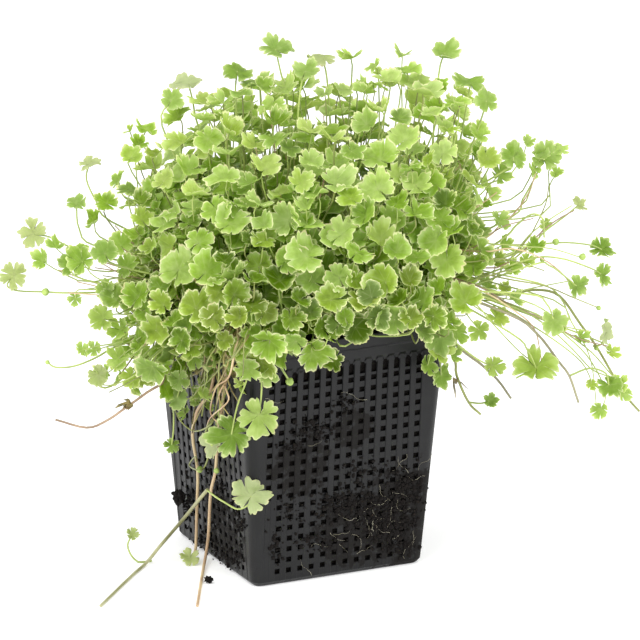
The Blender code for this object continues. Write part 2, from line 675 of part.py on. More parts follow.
def make_loose_soil(parts, earth):
    make_clump("soil_clump", on_left_side(179, 497, 0.0036), (0.0030, 0.0045, 0.0035), 3,
               parts, earth)
    make_clump("soil_crumb", on_floor(209, 579, 0.0016), (0.0022, 0.0018, 0.0016), 5,
               parts, earth)


CUTTERS = "cutters"


def build():
    clear_scene()
    parts = make_collection("pennywort_in_basket")
    cutters = make_collection(CUTTERS, hidden=True)
    plastic = material("black_basket_plastic", (0.026, 0.027, 0.029), 0.45)
    earth = material("peat_soil", (0.018, 0.012, 0.008), 0.95)
    leafy = material("green_leaf", (0.26, 0.44, 0.10), 0.5)
    make_basket(parts, cutters, plastic)
    make_soil(parts, earth)
    crown = make_crown(parts, cutters, leafy)
    make_loose_growth(crown, (parts, cutters, leafy))
    make_loose_soil(parts, earth)


build()
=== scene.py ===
"""A pennywort with cream-edged leaves in a square mesh pond basket.

Metres, +Z up, in the frame of the solids: the origin is the middle of the basket's
underside, its front looks along -Y and its left side along -X. The growth is placed
from the view that the object is shown in: points across and up that view, and
millimetres forward of the basket's middle.
"""

import math
import random

import bmesh
import bpy
from mathutils import Matrix, Vector, noise


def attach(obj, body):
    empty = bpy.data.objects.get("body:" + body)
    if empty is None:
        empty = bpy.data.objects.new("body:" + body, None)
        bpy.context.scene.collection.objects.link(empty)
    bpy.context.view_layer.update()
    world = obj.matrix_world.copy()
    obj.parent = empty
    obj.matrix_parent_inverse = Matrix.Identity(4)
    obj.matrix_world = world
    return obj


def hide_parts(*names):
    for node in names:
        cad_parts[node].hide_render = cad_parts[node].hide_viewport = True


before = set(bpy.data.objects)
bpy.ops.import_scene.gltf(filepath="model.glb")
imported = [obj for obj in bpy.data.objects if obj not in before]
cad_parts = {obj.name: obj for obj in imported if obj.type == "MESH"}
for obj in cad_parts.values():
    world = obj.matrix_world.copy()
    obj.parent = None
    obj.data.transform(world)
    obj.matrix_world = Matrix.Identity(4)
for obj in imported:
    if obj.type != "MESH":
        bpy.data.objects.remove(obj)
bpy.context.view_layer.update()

# Without a seed of its own, noise.noise_vector starts from the clock.
NOISE_SEED = 11
noise.seed_set(NOISE_SEED)

MM = 0.001

# The view that the growth is placed by.
VIEW_TURN = math.radians(25.0)
VIEW_RAISE = math.radians(18.8)
VIEW_POINTS_PER_METRE = 2367.0
VIEW_POINTS = 640
VIEW_MIDDLE = (299.6, 548.0)
ACROSS = Vector((math.cos(VIEW_TURN), -math.sin(VIEW_TURN), 0.0))
FORWARD = Vector((-math.sin(VIEW_TURN), -math.cos(VIEW_TURN), 0.0))
UPWARD = Vector((0.0, 0.0, 1.0))
VIEW_UP = UPWARD * math.cos(VIEW_RAISE) - FORWARD * math.sin(VIEW_RAISE)
NEAR = FORWARD * math.cos(VIEW_RAISE) + UPWARD * math.sin(VIEW_RAISE)

# Basket.
RIM_SIDE = 0.0953
BASE_SIDE = 0.0785
HEIGHT = 0.1090
CORNER_RADIUS = 0.0045
TAPER = (RIM_SIDE - BASE_SIDE) / 2.0 / HEIGHT
WALL = 1.4 * MM
BAND_STAND = 1.0 * MM
GAP = 0.3 * MM

# Crown.
CROWN_MIDDLE = Vector((0.0050, -0.0020, 0.1400))
CROWN_RADIUS = 0.0740
CROWN_RISE = 0.0600
CROWN_DROP = 0.0360
CROWN_SQUARENESS = 2.3
# How far its leaf tips reach in the view, at even turns from its right-hand side.
CROWN_OUTLINE = [0.079, 0.085, 0.098, 0.087, 0.075, 0.074, 0.078, 0.083, 0.085,
                 0.084, 0.093, 0.090, 0.066, 0.058, 0.052, 0.052, 0.076, 0.076]

STALK_RADIUS = 0.45 * MM
RUNNER_RADIUS = 0.65 * MM
STEM_RADIUS = 0.80 * MM


# Places read from the view.

def view_offsets(x, y):
    """Metres across and up the view from the middle of the basket's underside."""
    across = (x - VIEW_MIDDLE[0]) / VIEW_POINTS_PER_METRE
    up = (VIEW_MIDDLE[1] - y) / VIEW_POINTS_PER_METRE
    return across, up


def place(x, y, forward):
    """The point seen at x, y that lies forward millimetres in front of the middle."""
    across, up = view_offsets(x, y)
    ahead = forward * MM
    height = (up + math.sin(VIEW_RAISE) * ahead) / math.cos(VIEW_RAISE)
    return ACROSS * across + FORWARD * ahead + UPWARD * height


def places(points, *forward):
    """The places of several points, which share a forward if they hold none."""
    return [place(*point, *forward) for point in points]


def on_floor(x, y, height):
    """The point seen at x, y that lies height metres above the floor."""
    up = view_offsets(x, y)[1]
    ahead = (math.cos(VIEW_RAISE) * height - up) / math.sin(VIEW_RAISE)
    return place(x, y, ahead / MM)


def on_side(x, y, stand, across_out, forward_out):
    """The point seen at x, y that stands clear of one side of the basket.

    The last two say how far a step across and a step forward lead out of that side.
    """
    across, up = view_offsets(x, y)
    reach = BASE_SIDE / 2.0 + stand + TAPER * up / math.cos(VIEW_RAISE)
    slope = forward_out - TAPER * math.tan(VIEW_RAISE)
    ahead = (reach - across_out * across) / slope
    return place(x, y, ahead / MM)


def on_left_side(x, y, stand):
    return on_side(x, y, stand, -math.cos(VIEW_TURN), math.sin(VIEW_TURN))


def on_front_side(x, y, stand):
    return on_side(x, y, stand, math.sin(VIEW_TURN), math.cos(VIEW_TURN))


def facing(across, up, forward):
    return (ACROSS * across + UPWARD * up + FORWARD * forward).normalized()


def side_at(height):
    """The basket's outer side at a height, without the band."""
    return BASE_SIDE + 2.0 * TAPER * height


def held(value, low, high):
    return max(low, min(high, value))


# Colours and materials.

def shade(hex_code):
    """An sRGB hex colour as linear red, green, blue and alpha."""
    parts = [int(hex_code[i:i + 2], 16) / 255.0 for i in (1, 3, 5)]
    linear = [v / 12.92 if v <= 0.04045 else ((v + 0.055) / 1.055) ** 2.4 for v in parts]
    return (*linear, 1.0)


def set_node(tree, node, settings):
    """Sets a node's properties and sockets by name or place, and links given sockets."""
    for key, value in settings.items():
        if isinstance(value, bpy.types.NodeSocket):
            tree.links.new(value, node.inputs[key])
        elif isinstance(key, int) or key in node.inputs:
            node.inputs[key].default_value = value
        else:
            setattr(node, key, value)


def add_node(tree, kind, settings):
    """A node with its settings and its incoming links."""
    node = tree.nodes.new(kind)
    set_node(tree, node, settings)
    return node


def new_material(name, settings):
    """A material, its node tree and its Principled shader with plain values set."""
    finish = bpy.data.materials.new(name)
    finish.use_nodes = True
    tree = finish.node_tree
    shader = tree.nodes["Principled BSDF"]
    set_node(tree, shader, settings)
    return finish, tree, shader


def mix_colours(tree, share, first, second, kind="MIX"):
    """The colour between two others; each of the three is a socket or a value."""
    return add_node(tree, "ShaderNodeMix", {"data_type": "RGBA", "blend_type": kind,
                                            0: share, 6: first, 7: second}).outputs[2]


def between(tree, value, low, high, to_low=0.0, to_high=1.0):
    """The value eased from low..high to to_low..to_high and held beyond them."""
    return add_node(tree, "ShaderNodeMapRange",
                    {"interpolation_type": "SMOOTHSTEP", "From Min": low, "From Max": high,
                     "To Min": to_low, "To Max": to_high, "Value": value}).outputs["Result"]


def calculate(tree, operation, *values):
    """The result of a Math node on sockets and numbers."""
    return add_node(tree, "ShaderNodeMath",
                    {"operation": operation, **dict(enumerate(values))}).outputs[0]


def own_place(tree):
    """A point's place in its piece's own coordinates."""
    return add_node(tree, "ShaderNodeTexCoord", {}).outputs["Object"]


def speckle(tree, grain_mm, detail=3.0, spot=None):
    """Noise on the piece's own coordinates whose lumps are about grain_mm across."""
    return add_node(tree, "ShaderNodeTexNoise",
                    {"Scale": 1.0 / (grain_mm * MM), "Detail": detail,
                     "Vector": own_place(tree) if spot is None else spot}).outputs["Fac"]


def jitter(tree, value, grain_mm, detail, amount):
    """The value raised and lowered by up to half the amount, in lumps of grain_mm."""
    lumps = speckle(tree, grain_mm, detail)
    return calculate(tree, "ADD", value,
                     calculate(tree, "MULTIPLY_ADD", lumps, amount, -amount / 2.0))


def relief(tree, height, depth_mm, strength):
    """The normal of small relief that is about depth_mm deep."""
    return add_node(tree, "ShaderNodeBump", {"Distance": depth_mm * MM, "Strength": strength,
                                             "Height": height}).outputs["Normal"]


# What a blade's points carry: how near the rim and a main vein they are, the blade's
# lightness (partly painted light and shade), whether they are on its underside, and how yellow it is.
BLADE_LAYERS = ("edge", "vein", "tone", "under", "warmth")


def make_leaf_blade_material(name, greens, border, rim, rim_width, rim_share):
    """Living leaf blade: satin cuticle over green flesh that lets some light through.

    Paler veins fan out from the stalk, the scalloped rim is cream, and each leaf has its
    own shade, which also holds painted light and shade from its height and depth in the crown,
    so that the eye reads many thin leaves and not one green mass.
    """
    finish, tree, shader = new_material(name, {"Roughness": 0.46, "IOR": 1.42,
                                               "Specular IOR Level": 0.30})
    edge, vein, tone, under, warmth = [
        add_node(tree, "ShaderNodeAttribute", {"attribute_name": layer}).outputs["Fac"]
        for layer in BLADE_LAYERS]
    green = add_node(tree, "ShaderNodeValToRGB", {"Fac": jitter(tree, tone, 3.4, 3.0, 0.80)})
    ramp = green.color_ramp
    ramp.elements[0].color = shade(greens[0])
    ramp.elements[1].color = shade(greens[2])
    ramp.elements.new(0.5).color = shade(greens[1])
    fading = jitter(tree, edge, 3.0, 3.0, 1.0)
    ragged = jitter(tree, edge, 2.6, 4.0, 0.70)
    ageing = between(tree, speckle(tree, 7.0, 2.0), 0.56, 0.70, 0.0, 0.45)
    cream = mix_colours(tree, ageing, shade(rim), shade("#D6B78C"))
    turned = add_node(tree, "ShaderNodeNewGeometry", {}).outputs["Backfacing"]
    below = calculate(tree, "MAXIMUM", under, turned)
    colour = green.outputs["Color"]
    # Greyer leaves, warmer leaves, veins, the deeper middle, the paler border, the rim and
    # the dull underside.
    for share, tint in (
            (between(tree, warmth, 0.0, 0.45, 0.36, 0.0), shade("#A3B67A")),
            (between(tree, warmth, 0.6, 1.0, 0.0, 0.40), shade("#C3CF62")),
            (between(tree, vein, 0.55, 1.0, 0.0, 0.12), shade(rim)),
            (between(tree, fading, -0.30, 0.55, 0.34, 0.0), shade(greens[0])),
            (between(tree, fading, 0.30, 1.10, 0.0, 0.62), shade(border)),
            (between(tree, ragged, 1.0 - rim_width, 1.08 - rim_width, 0.0, rim_share), cream),
            (calculate(tree, "MULTIPLY", below, 0.32), shade("#BFD196"))):
        colour = mix_colours(tree, share, colour, tint)
    veined = calculate(tree, "ADD", speckle(tree, 0.9), calculate(tree, "MULTIPLY", vein, -0.8))
    set_node(tree, shader, {"Base Color": colour, "Normal": relief(tree, veined, 0.15, 0.45)})
    lit = mix_colours(tree, 1.0, colour, shade("#F4FFB4"), "MULTIPLY")
    glow = add_node(tree, "ShaderNodeBsdfTranslucent", {"Color": lit})
    sheet = add_node(tree, "ShaderNodeMixShader",
                     {0: 0.42, 1: shader.outputs[0], 2: glow.outputs[0]})
    set_node(tree, tree.nodes["Material Output"], {"Surface": sheet.outputs[0]})
    return finish


def make_stalk_material(name, pale, deep, grain_mm):
    """Smooth watery stalk skin: soft gloss, its colour drifting along its length."""
    finish, tree, shader = new_material(name, {"Roughness": 0.38, "IOR": 1.40})
    drift = between(tree, speckle(tree, grain_mm, 2.0), 0.35, 0.65)
    streak = speckle(tree, 0.6, 2.0)
    colour = mix_colours(tree, drift, shade(pale), shade(deep))
    streaked = mix_colours(tree, calculate(tree, "MULTIPLY", streak, 0.25), colour,
                           shade("#E9EBB4"))
    set_node(tree, shader, {"Base Color": streaked, "Normal": relief(tree, streak, 0.05, 0.3)})
    return finish


DIRT_PATCHES = [((0.030, -0.044, 0.022), 0.034), ((0.006, -0.043, 0.020), 0.024),
                ((-0.020, -0.045, 0.054), 0.020), ((0.004, -0.046, 0.066), 0.014),
                ((-0.043, -0.012, 0.020), 0.026)]


def make_basket_material():
    """Black polypropylene, injection moulded: satin, with dried peat dust and smears on it."""
    finish, tree, shader = new_material("moulded_black_polypropylene",
                                        {"IOR": 1.49, "Specular IOR Level": 0.30})
    spot = own_place(tree)
    patches = 0.0
    for middle, reach in DIRT_PATCHES:
        away = add_node(tree, "ShaderNodeVectorMath",
                        {"operation": "DISTANCE", 0: spot, 1: middle}).outputs["Value"]
        near = between(tree, away, reach * 0.45, reach, 1.0, 0.0)
        patches = calculate(tree, "MAXIMUM", patches, near)
    smear = calculate(tree, "MULTIPLY_ADD", patches, 0.34, -0.17)
    soiled = between(tree, calculate(tree, "ADD", speckle(tree, 3.5, 6.0), smear), 0.50, 0.62)
    dust = speckle(tree, 9.0, 4.0)
    dusty = between(tree, dust, 0.40, 0.70, 0.0, 0.30)
    clean = mix_colours(tree, dusty, shade("#0F0F10"), shade("#1F1F20"))
    dulled = calculate(tree, "MULTIPLY_ADD", dust, 0.25, 0.26)
    grain = calculate(tree, "MULTIPLY_ADD", soiled, 1.5, speckle(tree, 0.35, 2.0))
    set_node(tree, shader, {
        "Base Color": mix_colours(tree, soiled, clean, shade("#0D0A08")),
        "Roughness": calculate(tree, "MULTIPLY_ADD", soiled, 0.42, dulled),
        "Normal": relief(tree, grain, 0.15, 0.5)})
    return finish


def make_peat_material():
    """Moist milled peat: near-black brown crumbs, quite matte, with paler fibres in it."""
    finish, tree, shader = new_material("moist_peat", {"Roughness": 0.92, "IOR": 1.35})
    spot = own_place(tree)
    crumbs = add_node(tree, "ShaderNodeTexVoronoi",
                      {"Scale": 1.0 / (1.3 * MM), "Vector": spot}).outputs["Distance"]
    lumps = speckle(tree, 2.5, 5.0)
    stretched = add_node(tree, "ShaderNodeMapping", {"Scale": (1.0, 1.0, 0.2), "Vector": spot})
    fibres = speckle(tree, 0.9, 2.0, stretched.outputs["Vector"])
    earth = mix_colours(tree, lumps, shade("#070504"), shade("#17110D"))
    strewn = mix_colours(tree, between(tree, fibres, 0.68, 0.76, 0.0, 0.35), earth,
                         shade("#5C4A38"))
    bumps = calculate(tree, "ADD", crumbs, lumps)
    set_node(tree, shader, {"Base Color": strewn, "Normal": relief(tree, bumps, 0.6, 0.8)})
    return finish


def make_floor_material():
    """Matt white paper on a light table: the faintest tooth, lit a little from below."""
    finish, tree, shader = new_material("matt_white_paper", {"Roughness": 0.9, "IOR": 1.45,
                                                             "Emission Strength": 0.32})
    paper = mix_colours(tree, speckle(tree, 40.0, 2.0), shade("#F6F6F6"), shade("#F2F2F3"))
    set_node(tree, shader, {"Base Color": paper, "Emission Color": paper})
    return finish


# Pieces.

def finish_mesh(bm, name, smooth=True):
    """The bmesh as a mesh, its faces shaded smooth."""
    mesh = bpy.data.meshes.new(name)
    bm.to_mesh(mesh)
    bm.free()
    if smooth:
        mesh.shade_smooth()
    return mesh


def add_object(name, data):
    """An object in the scene."""
    thing = bpy.data.objects.new(name, data)
    bpy.context.scene.collection.objects.link(thing)
    return thing


def add_piece(name, mesh, materials, node):
    """A piece of the object that stands for the named solid. Its mesh may be a bmesh."""
    if isinstance(mesh, bmesh.types.BMesh):
        mesh = finish_mesh(mesh, name)
    piece = add_object(name, mesh)
    for finish in materials:
        mesh.materials.append(finish)
    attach(piece, "root")
    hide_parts(node)
    return piece


def add_crown_piece(name, mesh, materials):
    add_piece(name, mesh, materials, "leaf_crown")


# Leaf blades.

BLADE_THICKNESS = 0.035
BLADE_FULLNESS = 1.22
# How uneven a blade is and how much more so upwards, the size of the lumps, how far
# apart the forms of two blades lie in the noise, and a blade's joint in it.
BLADE_UNEVENNESS = 0.17
UNEVEN_RISE = 1.4
UNEVEN_LUMPS = 1.8
OWN_FORM = 3.0
JOINT_FORM = 5.4
# How far a cup and a fold draw a blade in.
CUP_DRAW = 0.25
FOLD_DRAW = 0.2
# How far a blade's joint lies from its middle, towards its stalk.
BLADE_OFF_CENTRE = 0.25
FLOOR_CLEAR = 0.1 * MM
EDGE_FROM = 0.55
PLAIN_RINGS = (1.0, 0.55)
FINE_RINGS = (1.0, 0.92, 0.74, 0.45)
MEDIUM_RINGS = (1.0, 0.90, 0.55)
BASAL_SHRINK = 0.20
SINUS_HALF = math.radians(15.0)
SINUS_REACH = 0.14
SINUS_ROUNDNESS = 0.7
LOBE_BREADTH = 0.22
RUFFLE = 0.11


def new_blades():
    """An empty bmesh with the layers that a blade's points carry."""
    bm = bmesh.new()
    for name in BLADE_LAYERS:
        bm.verts.layers.float.new(name)
    return bm


def blade_outline(turn, lobes, notch, tooth):
    """How far the rim of a blade of radius 1 reaches, turn radians round from its sinus.

    Each lobe has three rounded teeth, and the lobes beside the sinus are the smallest.
    """
    share = (turn % math.tau) / math.tau * lobes % 1.0
    lobe = notch + (1.0 - notch) * math.sin(math.pi * share) ** LOBE_BREADTH
    reach = lobe * (1.0 - tooth * (1.0 - abs(math.sin(3.0 * math.pi * share))))
    reach *= 1.0 - BASAL_SHRINK * (0.5 + 0.5 * math.cos(turn))
    from_sinus = abs((turn + math.pi) % math.tau - math.pi)
    if from_sinus < SINUS_HALF:
        opening = (from_sinus / SINUS_HALF) ** SINUS_ROUNDNESS
        reach *= SINUS_REACH + (1.0 - SINUS_REACH) * opening
    return reach


def make_blade_template(lobes, steps, notch, tooth, rings=PLAIN_RINGS):
    """A flat blade of radius 1 whose stalk joins in the middle, its sinus towards +X.

    The main veins run from the stalk to the tip of each lobe. With all of its rings it is
    a body with its own thickness, else a single sheet.
    """
    count = lobes * steps
    bm = new_blades()
    bmesh.ops.create_circle(bm, cap_ends=True, cap_tris=True, segments=count, radius=1.0)
    for outer, inner in zip(rings, rings[1:]):
        fan = [face for face in bm.faces if len(face.verts) == 3]
        bmesh.ops.inset_region(bm, faces=fan, thickness=outer - inner, use_boundary=True)
    bmesh.ops.recalc_face_normals(bm, faces=bm.faces)
    if bm.faces[0].normal.z < 0.0:
        bmesh.ops.reverse_faces(bm, faces=bm.faces)
    if rings == FINE_RINGS:
        bmesh.ops.solidify(bm, geom=bm.faces[:], thickness=BLADE_THICKNESS)
    edge, vein, under = [bm.verts.layers.float[name] for name in ("edge", "vein", "under")]
    top = max(vertex.co.z for vertex in bm.verts)
    for vertex in bm.verts:
        vertex[under] = 1.0 if vertex.co.z < top - BLADE_THICKNESS / 2.0 else 0.0
        flat = Vector((vertex.co.x, vertex.co.y))
        if flat.length < 0.1:
            vertex[vein] = 1.0
            continue
        turn = math.atan2(flat.y, flat.x)
        step = round(turn / math.tau * count) % count
        ring = min(rings, key=lambda reach: abs(reach - flat.length))
        reach = ring * blade_outline(step / count * math.tau, lobes, notch, tooth)
        vertex[edge] = max(0.0, (ring - EDGE_FROM) / (1.0 - EDGE_FROM))
        vertex[vein] = 1.0 if abs(step % steps / steps - 0.5) < 0.01 else 0.0
        vertex.co.x = reach * math.cos(turn)
        vertex.co.y = reach * math.sin(turn)
    return finish_mesh(bm, "blade_template", False)


def blade_lift(u, v, form):
    """How far a point of a blade of radius 1 rises out of its plane."""
    cup, fold, wave, phase = form
    reach = u * u + v * v
    turn = math.atan2(v, u)
    ruffle = RUFFLE * reach * (0.8 * math.cos(5.0 * turn + math.pi)
                               + math.cos(3.0 * turn + 2.0 * phase))
    return cup * reach + fold * abs(v) + wave * reach * math.sin(2.0 * turn + phase) + ruffle


def grow_blade(bm, template, middle, radius, face_way, base_way, form, tone, warmth):
    """Adds one blade to the bmesh, bent to its form and turned to face its way.

    Its radius is that of the circle its lobes fill, so the template's is a little larger.
    """
    radius *= BLADE_FULLNESS
    start = len(bm.verts)
    bm.from_mesh(template)
    bm.verts.ensure_lookup_table()
    tone_layer = bm.verts.layers.float["tone"]
    warmth_layer = bm.verts.layers.float["warmth"]
    side_way = face_way.cross(base_way).normalized()
    flat_way = side_way.cross(face_way).normalized()
    cup, fold, _, phase = form
    draw_in = 1.0 - CUP_DRAW * abs(cup) - FOLD_DRAW * abs(fold)
    still = noise.noise_vector(Vector((0.0, 0.0, phase * JOINT_FORM)))
    for vertex in bm.verts[start:]:
        spot = Vector((vertex.co.x, vertex.co.y, phase * OWN_FORM)) * UNEVEN_LUMPS
        own = noise.noise_vector(spot) - still
        u = vertex.co.x + own.x * BLADE_UNEVENNESS
        v = vertex.co.y + own.y * BLADE_UNEVENNESS
        lift = blade_lift(u, v, form) + vertex.co.z + own.z * BLADE_UNEVENNESS * UNEVEN_RISE
        flat = (flat_way * u + side_way * v) * draw_in
        vertex.co = middle + (flat + face_way * lift) * radius
        vertex.co.z = max(vertex.co.z, FLOOR_CLEAR)
        vertex[tone_layer] = tone
        vertex[warmth_layer] = warmth


def random_vector(chance, reach):
    return Vector([chance.uniform(-reach, reach) for _ in range(3)])


def leaf_form(chance, cup, fold):
    """A leaf's own bend: cup, fold, wave and where the wave starts."""
    return (cup + chance.uniform(-0.14, 0.22), fold + chance.uniform(-0.06, 0.20),
            chance.uniform(0.04, 0.22), chance.uniform(0.0, math.tau))


def grow_leaf(bm, templates, chance, spot, radius, way, route, bend, tone, stray=0.0):
    """Adds a blade at the end of its stalk's route, with a cut and a form of its own."""
    template = chance.choice(templates)
    base_way = route[1] - spot
    if stray:
        base_way += random_vector(chance, stray)
    form = leaf_form(chance, *bend)
    grow_blade(bm, template, spot, radius, way, base_way, form, tone, chance.random())


# Stalks, runners and stems.

# How finely rods are rounded: those that stand alone, and those of the loose edge.
ROUND_SIDES = 2
FRINGE_SIDES = 1


def smooth_route(points, steps=4):
    """More points along a smooth curve through the given ones."""
    if len(points) < 3:
        return list(points)
    ends = [points[0] * 2.0 - points[1]] + list(points) + [points[-1] * 2.0 - points[-2]]
    route = []
    for before, start, stop, after in zip(ends, ends[1:], ends[2:], ends[3:]):
        for step in range(steps):
            t = step / steps
            bend = (2.0 * before - 5.0 * start + 4.0 * stop - after) * t * t
            twist = (3.0 * start - before - 3.0 * stop + after) * t * t * t
            route.append(start + ((stop - before) * t + bend + twist) / 2.0)
    route.append(points[-1])
    return route


def route_inwards(knots, share, steps, target=CROWN_MIDDLE):
    """A route through the knots that runs on into the crown."""
    return smooth_route(knots + [knots[-1].lerp(target, share)], steps)


def above_floor(points, radius):
    return [Vector((p.x, p.y, max(p.z, radius))) for p in points]


def rods_mesh(name, rods, sides, finishes=()):
    """Round rods as one mesh. A rod is its points, its end radii and its material's place."""
    curve = bpy.data.curves.new(name, "CURVE")
    for finish in finishes:
        curve.materials.append(finish)
    curve.dimensions = "3D"
    curve.bevel_depth = 1.0
    curve.bevel_resolution = sides
    curve.use_fill_caps = True
    for route, start_radius, end_radius, finish in rods:
        spline = curve.splines.new("POLY")
        spline.points.add(len(route) - 1)
        spline.material_index = finish
        for index, (knot, point) in enumerate(zip(spline.points, route)):
            share = index / (len(route) - 1)
            knot.co = (*point, 1.0)
            knot.radius = start_radius + (end_radius - start_radius) * share
    guide = add_object(name, curve)
    graph = bpy.context.evaluated_depsgraph_get()
    mesh = bpy.data.meshes.new_from_object(guide.evaluated_get(graph))
    bpy.data.objects.remove(guide)
    mesh.name = name
    mesh.shade_smooth()
    return mesh


def add_rod(name, route, thin, thick, finish):
    """A runner or a stem that stands for its solid."""
    mesh = rods_mesh(name, [(route, thin, thick, 0)], ROUND_SIDES)
    add_piece(name + "_fine", mesh, [finish], name)


def join_stalk(bm, route, thin):
    """Adds a stalk to a blade or a bud, in the second of its materials."""
    start = len(bm.faces)
    bm.from_mesh(rods_mesh("stalk", [(route, thin, STALK_RADIUS, 0)], ROUND_SIDES))
    bm.faces.ensure_lookup_table()
    for face in bm.faces[start:]:
        face.material_index = 1


# Basket: each face is a panel of fine meshes between two rounded corners.

COLUMNS = 14
COLUMN_PITCH = 5.25 * MM
ROWS = 18
ROW_PITCH = 4.85 * MM
LOWEST_ROW = 6.3 * MM
OUTER_ROWS = 11
HOLE_HALF = 1.15 * MM
RIB_HALF = 1.45 * MM
SLOT_LOW = 91.1 * MM
SLOT_SHOULDER = 95.2 * MM
SLOT_TOP = 96.2 * MM
SLOT_CROWN_HALF = 0.55 * MM
RIB_TOP = 97.4 * MM
RECESS_LOW = 98.2 * MM
RECESS_TOP = 101.8 * MM
BAND_LOW = 102.5 * MM
RIM_ROUND = 0.5 * MM
BASE_ROUND = 2.0 * MM
# The foot: the ring it stands on and the base inside it, as shares of the ring before.
FOOT_SHARE = 0.90
BASE_SHARE = 0.98
FOOT_RISE = 1.2 * MM
SINK_TOP = 0.55 * MM
SINK_BOTTOM = 0.12 * MM
RECESS_SINK = 0.45 * MM
CORNER_STEPS = 4
# Heights closer than this count as the same, and so do places of holes.
HAIR = 0.01 * MM
HOLE_SLACK = 0.2 * MM


def row_height(row):
    return LOWEST_ROW + (ROWS - row) * ROW_PITCH


def column_place(column):
    return (column - (COLUMNS - 1) / 2.0) * COLUMN_PITCH


def panel_heights():
    """The panel's level lines, upwards."""
    heights = [0.0, BASE_ROUND * 0.3, BASE_ROUND]
    for row in range(ROWS, 0, -1):
        heights += [row_height(row) - HOLE_HALF, row_height(row) + HOLE_HALF]
    return heights + [SLOT_LOW, SLOT_SHOULDER, SLOT_TOP, RIB_TOP, RECESS_LOW, RECESS_TOP,
                      BAND_LOW, BAND_LOW + BAND_STAND, HEIGHT - RIM_ROUND, HEIGHT]


def corner_point(stand, height, turn, side):
    """A point turn radians round one of the front panel's corners."""
    middle = side_at(height) / 2.0 - CORNER_RADIUS
    reach = CORNER_RADIUS + stand
    x = middle + reach * math.sin(turn)
    y = middle + reach * math.cos(turn)
    return Vector((side * x, -y, height))


def stand_at(height, in_column, on_panel):
    """How far the panel stands out of the plain tapered wall."""
    if height < BASE_ROUND:
        return -BASE_ROUND * (1.0 - height / BASE_ROUND) ** 1.6
    if height >= HEIGHT - HAIR:
        return BAND_STAND - RIM_ROUND * 0.6
    if height > BAND_LOW + HAIR:
        return BAND_STAND
    if not on_panel or height > RECESS_TOP + HAIR:
        return 0.0
    if height > RIB_TOP + HAIR:
        return -RECESS_SINK
    if in_column:
        return -(SINK_BOTTOM + (SINK_TOP - SINK_BOTTOM) * height / SLOT_TOP)
    return 0.0


def is_hole(spot):
    """Whether a face with its middle here lies in one of the front panel's holes."""
    if spot.y > -BASE_SIDE / 2.0 + BASE_ROUND:
        return False
    for column in range(COLUMNS):
        if abs(spot.x - column_place(column)) < HOLE_SLACK:
            lowest_row = OUTER_ROWS if column in (0, COLUMNS - 1) else ROWS
            in_row = any(abs(spot.z - row_height(row)) < HOLE_SLACK
                         for row in range(1, lowest_row + 1))
            return in_row or SLOT_LOW < spot.z < SLOT_TOP
    return False


def make_panel(bm):
    """The front panel with its holes left open, from one corner's middle to the next."""
    heights = panel_heights()
    turns = [math.radians(45.0) * step / CORNER_STEPS for step in range(CORNER_STEPS + 1)]
    # The upright lines: round the left corner, across the face, round the right corner.
    plan = [(turn, -1) for turn in reversed(turns)]
    plan += [(column, offset) for column in range(COLUMNS)
             for offset in (-RIB_HALF, -HOLE_HALF, HOLE_HALF, RIB_HALF)]
    plan += [(turn, 1) for turn in turns]
    bmesh.ops.create_grid(bm, x_segments=len(plan) - 1, y_segments=len(heights) - 1, size=0.5)
    for vertex in bm.verts:
        index = round((vertex.co.x + 0.5) * (len(plan) - 1))
        height = heights[round((vertex.co.y + 0.5) * (len(heights) - 1))]
        if not len(turns) <= index < len(plan) - len(turns):
            vertex.co = corner_point(stand_at(height, False, False), height, *plan[index])
            continue
        column, offset = plan[index]
        at_hole = abs(offset) == HOLE_HALF
        if at_hole and height == SLOT_TOP:
            offset = math.copysign(SLOT_CROWN_HALF, offset)
        limit = side_at(height) / 2.0 - CORNER_RADIUS
        across = held(column_place(column) + offset, -limit, limit)
        deep = side_at(height) / 2.0 + stand_at(height, at_hole, True)
        vertex.co = Vector((across, -deep, height))
    holes = [face for face in bm.faces if is_hole(face.calc_center_median())]
    bmesh.ops.delete(bm, geom=holes, context="FACES")


def make_basket(plastic):
    """Four panels joined round the corners, a closed base, and the wall's thickness."""
    bm = bmesh.new()
    make_panel(bm)
    first = bm.verts[:] + bm.edges[:] + bm.faces[:]
    for quarter in (1, 2, 3):
        copy = bmesh.ops.duplicate(bm, geom=first)["geom"]
        points = [item for item in copy if isinstance(item, bmesh.types.BMVert)]
        bmesh.ops.rotate(bm, verts=points, matrix=Matrix.Rotation(quarter * math.pi / 2.0, 3, "Z"))
    bmesh.ops.remove_doubles(bm, verts=bm.verts, dist=2.0 * HAIR)
    foot = [edge for edge in bm.edges
            if edge.is_boundary and all(v.co.z < HAIR for v in edge.verts)]
    for share, rise in ((FOOT_SHARE, 0.0), (BASE_SHARE, FOOT_RISE)):
        grown = bmesh.ops.extrude_edge_only(bm, edges=foot)["geom"]
        foot = [item for item in grown if isinstance(item, bmesh.types.BMEdge)]
        points = [item for item in grown if isinstance(item, bmesh.types.BMVert)]
        bmesh.ops.scale(bm, vec=(share, share, 1.0), verts=points)
        bmesh.ops.translate(bm, vec=(0.0, 0.0, rise), verts=points)
    bmesh.ops.holes_fill(bm, edges=foot)
    bmesh.ops.recalc_face_normals(bm, faces=bm.faces)
    lowest = min(bm.faces, key=lambda face: face.calc_center_median().z)
    if lowest.normal.z > 0.0:
        bmesh.ops.reverse_faces(bm, faces=bm.faces)
    basket = add_piece("mesh_basket", finish_mesh(bm, "mesh_basket", False), [plastic],
                       "basket")
    wall = basket.modifiers.new("Wall", "SOLIDIFY")
    wall.thickness = WALL
    wall.offset = -1.0
    wall.use_even_offset = True
